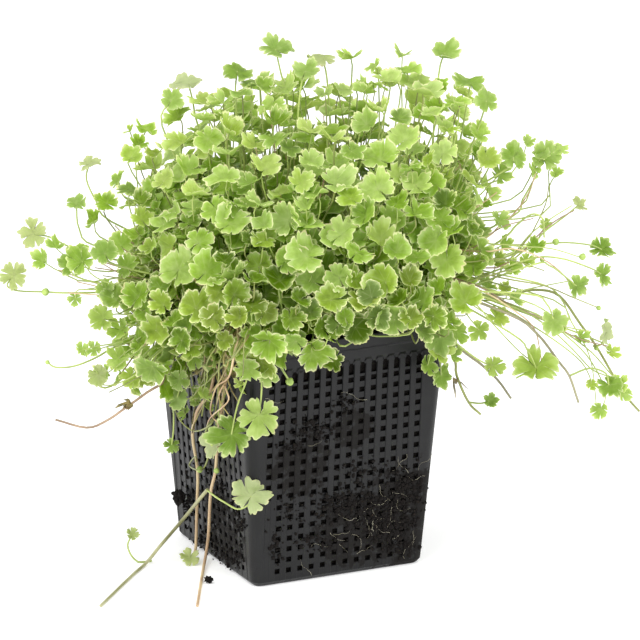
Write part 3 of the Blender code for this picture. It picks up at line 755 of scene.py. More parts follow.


# Crown of leaves.

# Its layers of leaves, outer to inner: how many, how deep they lie in layer depths, how
# light they are (painted darker inwards, as painted shade) and the smallest and largest of them in
# millimetres.
CROWN_LAYERS = [
    ("crown_leaves_outer", 620, (0.0, 0.9), (0.30, 0.80), (5.2, 7.6)),
    ("crown_leaves_middle", 600, (0.5, 1.5), (0.15, 0.60), (5.2, 7.6)),
    ("crown_leaves_inner", 420, (1.4, 2.8), (0.00, 0.30), (5.2, 7.2)),
]
LOWEST_LEAF = -0.62
LEAF_STAND = 6.0 * MM
LAYER_DEPTH = 11.0 * MM
RAGGED_DEPTH = 6.0 * MM
ROOT_SHARE = 0.45
ROOT_HEIGHT = HEIGHT + 4.0 * MM
CROWN_STALK_RADIUS = 0.28 * MM
FRINGE_STALK_RADIUS = CROWN_STALK_RADIUS * 0.85
FRINGE_STALK_FOOT = STALK_RADIUS * 0.85
MIDDLE_STALKS = 0.25
# How far a blade's sinus may stray from its stalk.
SINUS_STRAY = 3.0 * MM

# The top is loose: from this height upwards ever more leaves are left out.
LOOSE_FROM = 0.151
LOOSE_WITHIN = 0.032
LOOSE_SHARE = 0.86
# Painted light from above: leaves are made lighter with their height and darker low down.
PAINTED_LIGHT_MIDDLE = 0.156
PAINTED_LIGHT_PER_METRE = 8.5
PAINTED_LIGHT_RANGE = (-0.38, 0.25)
# The stretch of the rim that stays in sight, in the view's points: left, right and top.
RIM_IN_SIGHT = (322, 446, 324)
RIM_RAGGED = 7.0
RIM_WAVE = 8.0

# How a leaf looks in the view: the way it faces, across, up and forward, and its cup and
# fold.
LOOKS = {
    "front": (0.0, 0.60, 0.80, 0.20, 0.04), "up": (0.0, 1.0, 0.22, 0.14, 0.04),
    "flat": (0.0, 0.88, 0.48, 0.16, 0.06), "bowl": (0.0, 0.80, 0.60, 0.55, 0.02),
    "left": (-0.58, 0.58, 0.58, 0.18, 0.10), "right": (0.58, 0.58, 0.58, 0.18, 0.10),
    "down": (-0.05, 0.15, 1.0, 0.12, 0.04), "folded": (0.1, 0.7, 0.7, 0.10, 0.60),
}

# The leaves of the crown that the view shows best: x, y, radius in the view's points, how
# each looks and how light it is.
SHOWN_LEAVES = [
    (262, 87, 12, "flat", 0.3), (252, 84, 9, "up", 0.5), (285, 89, 14, "front", 0.75),
    (207, 100, 16, "front", 0.75), (224, 105, 14, "flat", 0.65), (243, 97, 11, "flat", 0.35),
    (180, 118, 15, "left", 0.3), (204, 122, 12, "up", 0.55), (225, 117, 11, "flat", 0.7),
    (272, 107, 13, "flat", 0.6), (275, 124, 16, "bowl", 0.2), (276, 142, 15, "front", 0.35),
    (230, 135, 14, "bowl", 0.3), (209, 140, 14, "front", 0.5), (182, 145, 15, "front", 0.6),
    (140, 144, 10, "front", 0.35), (130, 131, 7, "left", 0.5), (147, 131, 11, "flat", 0.45),
    (132, 158, 11, "front", 0.6), (156, 154, 9, "flat", 0.15), (255, 148, 14, "folded", 0.7),
    (292, 150, 11, "front", 0.15), (311, 131, 14, "up", 0.8), (312, 163, 14, "flat", 0.6),
    (191, 172, 17, "bowl", 0.5), (195, 195, 14, "flat", 0.75), (228, 182, 17, "front", 0.6),
    (230, 156, 14, "up", 0.75), (265, 171, 16, "front", 0.75), (252, 185, 13, "flat", 0.45),
    (120, 183, 11, "left", 0.5), (132, 191, 12, "up", 0.15), (141, 203, 14, "bowl", 0.2),
    (108, 204, 11, "flat", 0.45), (95, 222, 11, "left", 0.5), (217, 210, 15, "front", 0.55),
    (240, 211, 11, "front", 0.35), (258, 204, 14, "up", 0.7), (165, 182, 13, "left", 0.75),
    (143, 221, 12, "front", 0.7), (165, 225, 13, "flat", 0.75), (189, 224, 12, "front", 0.25),
    (200, 244, 14, "front", 0.6), (231, 225, 17, "front", 0.65), (140, 236, 11, "left", 0.5),
    (152, 248, 12, "left", 0.45), (180, 270, 19, "front", 0.8), (207, 272, 19, "right", 0.7),
    (225, 262, 10, "flat", 0.1), (236, 270, 12, "bowl", 0.3), (264, 242, 13, "flat", 0.5),
    (265, 227, 12, "flat", 0.6), (280, 281, 18, "bowl", 0.2), (288, 221, 17, "front", 0.75),
    (306, 226, 17, "right", 0.65), (307, 257, 20, "front", 0.7), (140, 297, 16, "left", 0.5),
    (197, 308, 17, "front", 0.45), (162, 288, 11, "left", 0.45), (252, 307, 14, "flat", 0.15),
    (266, 312, 12, "front", 0.35), (286, 262, 14, "front", 0.6), (306, 209, 11, "bowl", 0.8),
    (247, 206, 13, "flat", 0.7), (249, 240, 10, "flat", 0.05), (351, 60, 13, "up", 0.5),
    (374, 67, 9, "left", 0.6), (402, 58, 10, "folded", 0.6), (407, 75, 13, "front", 0.45),
    (388, 84, 14, "front", 0.75), (422, 96, 17, "flat", 0.8), (437, 86, 10, "front", 0.3),
    (456, 105, 14, "flat", 0.5), (364, 92, 10, "front", 0.55), (342, 91, 11, "flat", 0.75),
    (325, 97, 11, "flat", 0.7), (381, 111, 15, "bowl", 0.75), (398, 121, 11, "front", 0.15),
    (366, 126, 14, "front", 0.45), (405, 141, 17, "front", 0.75), (432, 114, 13, "up", 0.8),
    (449, 132, 9, "up", 0.4), (480, 137, 11, "right", 0.6), (335, 142, 16, "flat", 0.8),
    (351, 153, 12, "front", 0.3), (380, 162, 17, "front", 0.55), (442, 155, 13, "front", 0.85),
    (427, 160, 9, "left", 0.4), (410, 170, 12, "up", 0.4), (487, 160, 13, "right", 0.6),
    (334, 186, 17, "bowl", 0.65), (377, 190, 18, "front", 0.7), (415, 186, 16, "flat", 0.8),
    (436, 186, 14, "front", 0.5), (470, 182, 14, "right", 0.45), (445, 206, 12, "front", 0.1),
    (365, 218, 16, "front", 0.35), (414, 216, 17, "front", 0.5), (440, 221, 15, "right", 0.5),
    (451, 233, 14, "front", 0.45), (471, 231, 11, "right", 0.25), (342, 235, 16, "left", 0.85),
    (380, 241, 16, "bowl", 0.8), (356, 253, 14, "front", 0.55), (395, 253, 14, "front", 0.6),
    (435, 241, 15, "front", 0.7), (415, 258, 13, "front", 0.55), (385, 282, 17, "front", 0.5),
    (409, 282, 13, "bowl", 0.15), (446, 260, 17, "front", 0.75), (480, 250, 17, "right", 0.5),
    (472, 266, 14, "front", 0.55), (495, 260, 12, "right", 0.4), (339, 278, 14, "front", 0.75),
    (331, 300, 16, "bowl", 0.45), (365, 301, 15, "front", 0.2), (422, 304, 14, "flat", 0.75),
    (437, 291, 11, "bowl", 0.5), (464, 302, 17, "front", 0.75), (486, 288, 13, "right", 0.5),
    (505, 290, 8, "right", 0.4), (371, 297, 13, "front", 0.2), (300, 185, 13, "front", 0.6),
    (318, 195, 13, "flat", 0.65), (350, 200, 13, "flat", 0.4), (395, 205, 12, "flat", 0.35),
    (270, 340, 19, "down", 0.7), (312, 352, 17, "down", 0.75), (296, 341, 11, "down", 0.8),
    (333, 358, 12, "down", 0.45), (329, 335, 11, "right", 0.5), (355, 327, 15, "down", 0.12),
    (394, 319, 17, "down", 0.65), (262, 362, 17, "down", 0.4), (241, 318, 13, "bowl", 0.3),
    (420, 330, 14, "right", 0.4), (447, 322, 13, "right", 0.5), (154, 366, 17, "down", 0.7),
    (140, 342, 13, "left", 0.55), (183, 340, 12, "left", 0.4), (215, 318, 13, "front", 0.3),
    (175, 322, 13, "left", 0.5), (225, 340, 10, "down", 0.5), (290, 318, 13, "bowl", 0.4),
    (310, 312, 13, "front", 0.35), (345, 318, 9, "down", 0.6), (165, 305, 13, "front", 0.5),
    (235, 295, 14, "front", 0.4), (118, 300, 12, "left", 0.5), (338, 325, 12, "down", 0.25),
    (322, 328, 12, "front", 0.4), (376, 317, 13, "front", 0.3), (410, 320, 12, "front", 0.35),
    (432, 316, 13, "front", 0.4), (300, 300, 12, "front", 0.3), (255, 282, 13, "flat", 0.35),
    (220, 292, 13, "front", 0.4), (400, 300, 13, "flat", 0.35), (355, 280, 13, "flat", 0.4),
]
# How the blades in sight are cut: lobes, steps, depth of the notches and of the teeth.
SHOWN_CUTS = ((5, 12, 0.80, 0.11), (5, 12, 0.68, 0.12), (7, 10, 0.80, 0.10), (6, 10, 0.74, 0.11))
# And the ones behind them.
HIDDEN_CUTS = ((5, 6, 0.78, 0.10), (6, 6, 0.84, 0.08), (5, 6, 0.64, 0.12))
SHOWN_FULLNESS = 1.10
SHOWN_TURN = 0.46
# Above this height in the view the leaves turn their faces ever more upwards.
TURN_UP_FROM = 285
TURN_UP_WITHIN = 170.0
TURN_UP = 0.6
TURN_AWAY = 0.35
SHOWN_STAND = 5.0 * MM
SHOWN_MIDDLE = 0.46
SHOWN_CONTRAST = 1.25
SHOWN_PAINTED_LIGHT = 0.8
# The nearest and the farthest place in which the crown's surface is looked for, along
# the view's own line and in millimetres.
SIGHT_FROM = 140
SIGHT_TO = -100
# Where the basket's front corner and its two sides are, across the view.
CORNER_SEEN = 256
SIDES_SEEN = (160, 440)
# A leaf hides another that is behind it and nearer than this share of both radii.
HIDING_SHARE = 0.42

# Lumps of leaves that hang over the rim: x, y, forward, radius and half height.
HANGING_LUMPS = [
    (152, 340, 25, 0.0160, 0.0270),
    (258, 345, 62, 0.0130, 0.0170),
    (205, 325, 44, 0.0120, 0.0150),
]
LUMP_LEAVES = 26


def outline_reach(across, up):
    """The reach of the crown's outline on the side that across and up point to."""
    count = len(CROWN_OUTLINE)
    step = math.atan2(up, across) % math.tau / math.tau * count
    before = int(step) % count
    share = step - int(step)
    return (CROWN_OUTLINE[before] * (1.0 - share)
            + CROWN_OUTLINE[(before + 1) % count] * share)


def even_reach(direction):
    """The reach of a rounded body that is the same all round."""
    level = math.hypot(direction.x, direction.y) / CROWN_RADIUS
    upright = abs(direction.z) / (CROWN_RISE if direction.z > 0.0 else CROWN_DROP)
    power = CROWN_SQUARENESS
    return (level ** power + upright ** power) ** (-1.0 / power)


def crown_reach(direction):
    """How far the crown's body reaches from its middle, along a unit direction."""
    across = direction.dot(ACROSS)
    up = direction.dot(VIEW_UP)
    aside = across * across + up * up
    edge = (ACROSS * across + VIEW_UP * up).normalized()
    share = (outline_reach(across, up) - LEAF_STAND) / even_reach(edge)
    return even_reach(direction) * (1.0 + aside * (share - 1.0))


def spread_directions(count, lowest, chance, stray):
    """Directions spread evenly round, from straight up down to the lowest, and jittered."""
    golden = math.pi * (3.0 - math.sqrt(5.0))
    for index in range(count):
        height = 1.0 - (1.0 - lowest) * (index + 0.5) / count
        level = math.sqrt(1.0 - height * height)
        turn = golden * index
        straight = Vector((level * math.cos(turn), level * math.sin(turn), height))
        yield (straight + random_vector(chance, stray)).normalized()


def over_basket(spot, clear):
    """Whether a point below the rim is inside the basket or touches its wall."""
    if spot.z > HEIGHT + clear:
        return False
    half = RIM_SIDE / 2.0 + BAND_STAND + clear
    return abs(spot.x) < half and abs(spot.y) < half


def crown_root(spot, chance):
    """Where the stalk of a leaf at this spot leaves the soil."""
    share = ROOT_SHARE * chance.uniform(0.5, 1.3)
    root = Vector((spot.x * share, spot.y * share, ROOT_HEIGHT)) + random_vector(chance, 6.0 * MM)
    inside = RIM_SIDE / 2.0 - 5.0 * MM
    root.x = held(root.x, -inside, inside)
    root.y = held(root.y, -inside, inside)
    return root


def rim_crossing(spot, chance):
    """A point just outside and above the rim, on the way in from the spot."""
    half = RIM_SIDE / 2.0 + BAND_STAND + 2.0 * MM
    share = half / max(abs(spot.x), abs(spot.y))
    crossing = Vector((spot.x * share, spot.y * share, HEIGHT + chance.uniform(3.0, 9.0) * MM))
    along = chance.uniform(-9.0, 9.0) * MM
    axis = 1 if abs(crossing.x) > abs(crossing.y) else 0
    crossing[axis] = held(crossing[axis] + along, -half, half)
    return crossing


def crown_stalk(spot, way, chance):
    """A stalk's route from its leaf to its root, over the rim where it hangs below it."""
    root = crown_root(spot, chance)
    aside = Vector((spot.x, spot.y, 0.0)).normalized()
    if spot.z < HEIGHT + 8.0 * MM:
        return smooth_route([spot, spot - way * 1.5 * MM + UPWARD * 3.0 * MM,
                             rim_crossing(spot, chance), root], 3)
    drop = spot - way * 3.0 * MM - UPWARD * 5.0 * MM
    middle = drop.lerp(root, 0.5) + aside * chance.uniform(-2.0, 10.0) * MM
    middle += random_vector(chance, 7.0 * MM)
    drop.z = max(drop.z, ROOT_HEIGHT)
    middle.z = max(middle.z, ROOT_HEIGHT)
    return smooth_route([spot, drop, middle, root], 3)


def crown_leaf_way(direction, chance):
    """Which way a crown leaf looks: outwards and up, the topmost ones straight up."""
    lift = 0.62 + 0.35 * max(direction.z, 0.0)
    return (direction * 0.62 + UPWARD * lift + random_vector(chance, 0.55)).normalized()


def crown_spot(x, y):
    """The point seen at x, y on the crown, or else beside it or on the basket's wall."""
    foot = place(x, y, 0.0)
    for step in range(SIGHT_FROM, SIGHT_TO, -1):
        spot = foot + NEAR * step * MM
        away = spot - CROWN_MIDDLE
        if away.length < crown_reach(away.normalized()) + SHOWN_STAND:
            return spot
    level = foot + NEAR * (CROWN_MIDDLE - foot).dot(NEAR)
    if level.z > HEIGHT + 10.0 * MM or not SIDES_SEEN[0] <= x <= SIDES_SEEN[1]:
        return level
    side = on_left_side if x < CORNER_SEEN else on_front_side
    return side(x, y, SHOWN_STAND)


def left_out(spot, radius, chance):
    """Whether a leaf would stand in the loose top or cover the rim that stays in sight."""
    loose = held((spot.z - LOOSE_FROM) / LOOSE_WITHIN, 0.0, 1.0)
    if chance.random() < LOOSE_SHARE * loose:
        return True
    left, right, top = RIM_IN_SIGHT
    x = VIEW_MIDDLE[0] + spot.dot(ACROSS) * VIEW_POINTS_PER_METRE
    y = VIEW_MIDDLE[1] - (spot.dot(VIEW_UP) - radius * 0.7) * VIEW_POINTS_PER_METRE
    y -= RIM_RAGGED * math.sin(x / RIM_WAVE)
    return left < x < right and y > top and spot.dot(FORWARD) > 0.0


def height_painted_light(spot):
    """How much lighter a leaf is painted for its height: painted light above, painted shade below."""
    return held((spot.z - PAINTED_LIGHT_MIDDLE) * PAINTED_LIGHT_PER_METRE, *PAINTED_LIGHT_RANGE)


def hides(spot, radius, shown):
    """Whether a leaf would lie in front of one of the shown leaves, in the view."""
    for other, other_radius in shown:
        apart = spot - other
        ahead = apart.dot(NEAR)
        near = (radius + other_radius) * HIDING_SHARE
        if ahead > -1.0 * MM and (apart - NEAR * ahead).length < near:
            return True
    return False


def make_shown_leaves(blade, rods, chance):
    """The crown's leaves in the places where the view shows them."""
    templates = [make_blade_template(*cut, MEDIUM_RINGS) for cut in SHOWN_CUTS]
    bm = new_blades()
    shown = []
    for x, y, points, look, tone in SHOWN_LEAVES:
        across, up, ahead, *bend = LOOKS[look]
        radius = points / VIEW_POINTS_PER_METRE
        turned = random_vector(chance, SHOWN_TURN)
        lift = max(0.0, (TURN_UP_FROM - y) / TURN_UP_WITHIN)
        way = facing(across + turned[0], up + turned[1] + TURN_UP * lift,
                     ahead + turned[2] - TURN_AWAY * lift)
        spot = crown_spot(x, y) - NEAR * chance.uniform(-2.0, 6.0) * MM
        route = crown_stalk(spot, way, chance)
        lightness = SHOWN_MIDDLE + SHOWN_CONTRAST * (tone - 0.5)
        # Painted light: the leaf is made lighter high in the crown and darker low down.
        lightness += height_painted_light(spot) * SHOWN_PAINTED_LIGHT
        grow_leaf(bm, templates, chance, spot, radius * SHOWN_FULLNESS, way, route, bend,
                  lightness, SINUS_STRAY)
        rods.append((route, CROWN_STALK_RADIUS, STALK_RADIUS, chance.choice((0, 0, 0, 1))))
        shown.append((spot, radius))
    add_crown_piece("crown_leaves_shown", bm, [blade])
    return shown


def make_crown_layers(blade, rods, shown, templates, chance):
    """The rest of the crown's leaves, in layers painted darker inwards as painted shade."""
    for name, count, depths, depth_shaded_tones, sizes in CROWN_LAYERS:
        bm = new_blades()
        for direction in spread_directions(count, LOWEST_LEAF, chance, 0.10):
            radius = chance.uniform(*sizes) * MM
            way = crown_leaf_way(direction, chance)
            lean = BLADE_FULLNESS * math.sqrt(max(0.0, 1.0 - way.dot(direction) ** 2))
            depth = chance.uniform(*depths) * LAYER_DEPTH
            depth += RAGGED_DEPTH * (0.5 + noise.noise(direction * 3.0))
            reach = crown_reach(direction) + LEAF_STAND - radius * lean - depth
            spot = CROWN_MIDDLE + direction * reach
            if over_basket(spot, 5.0 * MM) or hides(spot, radius, shown):
                continue
            if left_out(spot, radius, chance):
                continue
            route = crown_stalk(spot, way, chance)
            # Painted shade and light: darker tones for deeper layers, lighter for higher leaves.
            tone = chance.uniform(*depth_shaded_tones) + height_painted_light(spot)
            grow_leaf(bm, templates, chance, spot, radius, way, route, (0.16, 0.06), tone,
                      SINUS_STRAY)
            if name == "crown_leaves_outer" or chance.random() < MIDDLE_STALKS:
                rods.append((route, CROWN_STALK_RADIUS, CROWN_STALK_RADIUS * 1.3,
                             chance.choice((0, 0, 0, 1, 1, 2))))
        add_crown_piece(name, bm, [blade])


def make_hanging_leaves(blade, rods, shown, templates, chance):
    """The lumps of leaves that hang over the rim."""
    bm = new_blades()
    for x, y, forward, radius, tall in HANGING_LUMPS:
        middle = place(x, y, forward)
        for direction in spread_directions(LUMP_LEAVES, -0.9, chance, 0.12):
            surface = Vector((direction.x * radius, direction.y * radius, direction.z * tall))
            spot = middle + surface * chance.uniform(0.70, 1.05)
            size = chance.uniform(4.4, 6.4) * MM
            hidden = over_basket(spot, 3.0 * MM) or hides(spot, size, shown)
            if hidden or left_out(spot, size, chance):
                continue
            way = (direction * 0.9 + UPWARD * 0.35 + random_vector(chance, 0.4)).normalized()
            route = crown_stalk(spot, way, chance)
            grow_blade(bm, chance.choice(templates), spot, size, way, route[1] - spot,
                       leaf_form(chance, 0.12, 0.06), chance.uniform(0.15, 0.7),
                       chance.random())
            rods.append((route, CROWN_STALK_RADIUS, STALK_RADIUS, chance.choice((1, 2, 3, 3))))
    add_crown_piece("hanging_leaves", bm, [blade])


def make_crown(blade, stalks):
    """All the leaves of the crown and their stalks."""
    chance = random.Random(23)
    rods = []
    templates = [make_blade_template(*cut) for cut in HIDDEN_CUTS]
    shown = make_shown_leaves(blade, rods, chance)
    make_crown_layers(blade, rods, shown, templates, chance)
    make_hanging_leaves(blade, rods, shown, templates, chance)
    add_crown_piece("crown_stalks", rods_mesh("crown_stalks", rods, 0, stalks), [])


# How the blades of single leaves are cut: lobes, steps, depth of the notches and teeth.
ROUND = (5, 12, 0.76, 0.09)
LOBED = (5, 12, 0.62, 0.13)
DEEP = (5, 12, 0.46, 0.15)

# Leaves that stand clear, each with its stalk, first those of the crown and then those of
# runners and hanging stems: name, middle of its blade, radius, the way it faces, its cut
# and its stalk's points down to what it grows from.
SINGLE_LEAVES = [
    ("leaf_top_1", (275, 47, 0), 0.0074, (0.1, 0.9, 0.4), LOBED,
     [(281, 74, 2), (287, 100, 5), (292, 160, 8)]),
    ("leaf_top_2", (238, 69, -4), 0.0063, (0.1, 1.0, 0.3), ROUND, [(236, 98, 0), (242, 170, 6)]),
    ("leaf_top_3", (321, 56, -22), 0.006, (0.1, 1.0, 0.12), ROUND,
     [(327, 80, -18), (332, 150, -12)]),
    ("leaf_top_4", (445, 51, -6), 0.0063, (0.1, 1.0, 0.35), ROUND,
     [(438, 77, -5), (430, 170, 0)]),
    ("leaf_top_5", (470, 81, 6), 0.007, (0.2, 1.0, 0.1), ROUND, [(465, 112, 6), (450, 190, 5)]),
    ("leaf_top_6", (486, 100, 16), 0.0053, (0.5, 0.5, 0.6), ROUND,
     [(479, 124, 13), (455, 190, 10)]),
    ("leaf_top_7", (188, 81, 0), 0.0067, (-0.1, 1.0, 0.1), ROUND,
     [(193, 100, 2), (199, 128, 5), (222, 190, 8)]),
    ("leaf_top_8", (173, 99, 10), 0.005, (0.2, 0.6, 0.7), ROUND,
     [(163, 127, 12), (200, 205, 15)]),
    ("leaf_top_9", (306, 70, 14), 0.0058, (0.0, 0.9, 0.4), ROUND,
     [(300, 95, 16), (295, 160, 20)]),
    ("leaf_left_1", (90, 162, -24), 0.005, (-0.2, 1.0, 0.25), LOBED,
     [(87, 180, -24), (97, 202, -20), (112, 222, -16), (200, 262, 0)]),
    ("leaf_left_2", (77, 202, -4), 0.0045, (-0.3, 0.9, 0.4), LOBED,
     [(80, 229, -3), (98, 247, 0), (200, 270, 10)]),
    ("leaf_left_3", (32, 234, 22), 0.0063, (-0.3, 0.35, 0.9), DEEP,
     [(53, 238, 22), (85, 252, 22), (200, 280, 25)]),
    ("leaf_left_4", (17, 273, 30), 0.0063, (-0.2, 0.35, 0.9), DEEP,
     [(9, 286, 30), (20, 291, 30), (46, 292, 30), (80, 293, 30), (200, 290, 30)]),
    ("leaf_left_5", (70, 262, 36), 0.0063, (-0.6, 0.2, 0.75), ROUND,
     [(86, 280, 36), (200, 300, 34)]),
    ("leaf_left_6", (104, 252, 44), 0.0055, (-0.2, 0.5, 0.8), ROUND,
     [(119, 266, 41), (200, 285, 35)]),
    ("leaf_left_7", (102, 318, 44), 0.006, (-0.3, 0.4, 0.85), LOBED,
     [(120, 322, 40), (160, 330, 28)]),
    ("leaf_left_8", (102, 376, 44), 0.0048, (-0.2, 0.5, 0.8), ROUND,
     [(96, 370, 43), (97, 382, 41), (112, 386, 38), (150, 355, 26)]),
    ("leaf_front_1", (259, 419, 68), 0.0089, (-0.1, 0.15, 1.0), DEEP,
     [(262, 390, 67), (262, 345, 64)]),
    ("leaf_front_2", (231, 439, 64), 0.0098, (-0.3, 0.2, 0.95), DEEP,
     [(238, 405, 63), (247, 380, 64), (258, 345, 64)]),
    ("leaf_front_3", (178, 400, 34), 0.0053, (-0.3, 0.3, 0.9), ROUND,
     [(178, 385, 33), (155, 350, 26)]),
    ("leaf_front_4", (172, 446, 6), 0.0036, (-0.3, 0.4, 0.85), DEEP,
     [(174, 425, 10), (172, 400, 16), (155, 350, 24)]),
    ("leaf_front_5", (440, 342, 46), 0.007, (0.3, 0.2, 0.9), ROUND,
     [(437, 325, 44), (425, 270, 34)]),
    ("leaf_front_6", (441, 378, 36), 0.0055, (0.6, 0.1, 0.7), ROUND,
     [(438, 355, 35), (420, 270, 26)]),
    ("leaf_right_1", (545, 156, -22), 0.0065, (0.3, 0.35, 0.9), LOBED,
     [(535, 177, -20), (522, 200, -16), (510, 218, -12), (420, 260, 0)]),
    ("leaf_right_2", (514, 155, 6), 0.0058, (0.3, 0.45, 0.8), ROUND,
     [(505, 170, 7), (430, 215, 12)]),
    ("leaf_right_3", (581, 203, -34), 0.0042, (0.6, 0.75, 0.3), DEEP,
     [(565, 216, -30), (545, 231, -24), (520, 250, -16), (420, 280, 0)]),
    ("leaf_right_4", (604, 251, -6), 0.0058, (0.15, 0.85, 0.5), DEEP,
     [(588, 245, -5), (557, 243, -2), (525, 250, 2), (420, 290, 10)]),
    ("leaf_right_5", (602, 276, 26), 0.0052, (0.6, 0.45, 0.65), DEEP,
     [(588, 268, 26), (555, 258, 26), (520, 262, 26), (420, 300, 26)]),
    ("leaf_right_6", (577, 288, 34), 0.0052, (0.5, 0.2, 0.85), LOBED,
     [(565, 278, 34), (548, 266, 34), (528, 266, 34), (420, 305, 32)]),
    ("leaf_right_7", (553, 322, 48), 0.0055, (0.2, 0.4, 0.9), ROUND,
     [(545, 304, 47), (525, 294, 47), (420, 290, 40)]),
    ("leaf_right_8", (537, 372, 50), 0.0093, (0.0, 0.9, 0.5), DEEP,
     [(526, 350, 49), (508, 332, 46), (400, 270, 26)]),
    ("leaf_right_9", (494, 366, 44), 0.0047, (0.2, 0.5, 0.8), DEEP,
     [(482, 362, 43), (464, 350, 42), (415, 310, 38)]),
    ("leaf_back_1", (300, 150, -96), 0.0065, (0.1, 0.5, -0.85), ROUND,
     [(304, 158, -91), (306, 205, -50)]),
    ("leaf_back_2", (240, 205, -92), 0.0065, (-0.3, 0.3, -0.9), ROUND,
     [(246, 214, -84), (275, 215, -40)]),
    ("leaf_right_10", (608, 388, 46), 0.006, (0.2, 0.8, 0.5), LOBED,
     [(604, 373, 46), (588, 368, 45), (569, 375, 44)]),
    ("leaf_right_11", (605, 330, 36), 0.0055, (0.9, 0.15, 0.4), ROUND,
     [(600, 344, 33), (592, 346, 28)]),
    ("leaf_right_12", (490, 400, 32), 0.0035, (0.1, 0.6, 0.7), ROUND,
     [(480, 403, 30), (469, 402, 29)]),
    ("leaf_back_3", (352, 385, -72), 0.006, (0.2, 0.3, -0.9), ROUND,
     [(349, 378, -69), (344, 374, -63)]),
    ("leaf_front_7", (214, 446, 48), 0.006, (-0.75, 0.1, 0.6), ROUND,
     [(218, 430, 50), (221, 420, 46)]),
    ("leaf_front_8", (253, 491, 64), 0.0085, (0.1, 0.8, 0.6), DEEP,
     [(248, 504, 63), (238, 508, 58), (226, 502, 51), (216, 496, 42), (208, 490, 34)]),
    ("leaf_floor_2", (190, 558, 21), 0.0043, (0.1, 0.75, 0.6), LOBED, [(195, 552, 12)]),
    ("leaf_floor_1", (133, 533, 20), 0.003, (0.3, 0.5, 0.8), DEEP,
     [(128, 545, 20), (133, 557, 20), (144, 564, 19), (152, 560, 18)]),
]

# Lightness and warmth of single leaves that are paler or darker than the rest.
BLADE_TONES = {
    "leaf_floor_2": (1.0, 1.0), "leaf_front_1": (0.75, 0.8), "leaf_front_2": (0.2, 0.5),
    "leaf_right_8": (0.5, 0.95), "leaf_right_3": (0.8, 0.9), "leaf_left_1": (0.9, 0.8),
    "leaf_right_10": (0.35, 0.5), "leaf_right_4": (0.25, 0.4), "leaf_top_5": (0.5, 0.6),
    # leaf_right_1 is set lighter as painted light, lifting the shade of the clump it sits in.
    "leaf_right_1": (0.75, 0.7)}
PALE_LEAVES = ("leaf_floor_2", "leaf_floor_1", "leaf_left_1", "leaf_left_3", "leaf_left_4",
               "leaf_front_8", "leaf_front_7", "leaf_right_3", "leaf_top_3", "leaf_top_7",
               "leaf_left_8", "leaf_right_11")


def make_single_leaves(blade, pale_blade, stalk_skin):
    """The leaves that stand clear, blade and stalk in one piece."""
    chance = random.Random(7)
    templates = {cut: make_blade_template(*cut, FINE_RINGS) for cut in (ROUND, LOBED, DEEP)}
    for name, middle, radius, way, cut, stalk in SINGLE_LEAVES:
        spot = place(*middle)
        spot += (place(*stalk[0]) - spot).normalized() * radius * BLADE_OFF_CENTRE
        route = above_floor(smooth_route([spot] + places(stalk)), STALK_RADIUS)
        tone, warmth = BLADE_TONES.get(name, (chance.uniform(0.35, 0.80), chance.random()))
        bm = new_blades()
        grow_blade(bm, templates[cut], spot, radius, facing(*way), route[1] - spot,
                   leaf_form(chance, 0.04, 0.0), tone, warmth)
        join_stalk(bm, route, STALK_RADIUS * 0.75)
        skin = pale_blade if name in PALE_LEAVES else blade
        add_piece(name + "_fine", bm, [skin, stalk_skin], name)


# Runners that hang or arch free of the crown, from the tip inwards.
CROWN_RUNNERS = [
    ("runner_left_1", [(49, 362, 36), (57, 367, 36), (75, 366, 35), (96, 358, 33),
                       (118, 346, 30), (155, 335, 26)]),
    ("runner_left_2", [(57, 419, 52), (88, 427, 52), (108, 420, 51), (127, 407, 49),
                       (148, 392, 44), (165, 378, 38), (158, 345, 28)]),
    ("runner_right_1", [(543, 238, 20), (541, 219, 20), (530, 215, 20), (515, 226, 20),
                        (498, 242, 20), (420, 290, 20)]),
    ("runner_right_2", [(638, 411, 30), (622, 392, 30), (596, 348, 30), (579, 324, 30),
                        (558, 296, 30), (535, 290, 30), (507, 294, 30), (420, 305, 28)]),
    ("runner_right_3", [(577, 402, 44), (568, 376, 44), (557, 361, 44), (535, 333, 44),
                        (505, 313, 42), (400, 275, 28)]),
    ("runner_right_4", [(510, 398, 36), (497, 380, 37), (480, 364, 37), (458, 347, 36),
                        (410, 300, 32)]),
    ("runner_right_5", [(480, 414, 28), (468, 402, 29), (456, 375, 30), (452, 352, 29),
                        (420, 280, 24)]),
    ("runner_back_1", [(345, 400, -62), (343, 350, -64), (338, 300, -68), (335, 262, -72),
                       (330, 225, -56)]),
]
# Runners of the common green are thinner than the ripened ones, and all thin to their tip.
GREEN_RUNNER_SHARE = 0.75
RUNNER_TIP_SHARE = 0.75
STEM_TIP_SHARE = 0.8


def make_runners(finishes):
    for name, points in CROWN_RUNNERS:
        thick = RUNNER_RADIUS * (1.0 if name in finishes else GREEN_RUNNER_SHARE)
        add_rod(name, smooth_route(places(points)), thick * RUNNER_TIP_SHARE, thick,
                finishes.get(name, finishes["runner"]))


def along_floor(*points):
    """Points of a stem that lies on the floor."""
    return [on_floor(x, y, STEM_RADIUS) for x, y in points]


def along_side(*points, clear=0.0):
    """Points of a stem that falls down the basket's left side, some way clear of it."""
    stand = BAND_STAND + STEM_RADIUS + GAP + clear
    return [on_left_side(x, y, stand) for x, y in points]


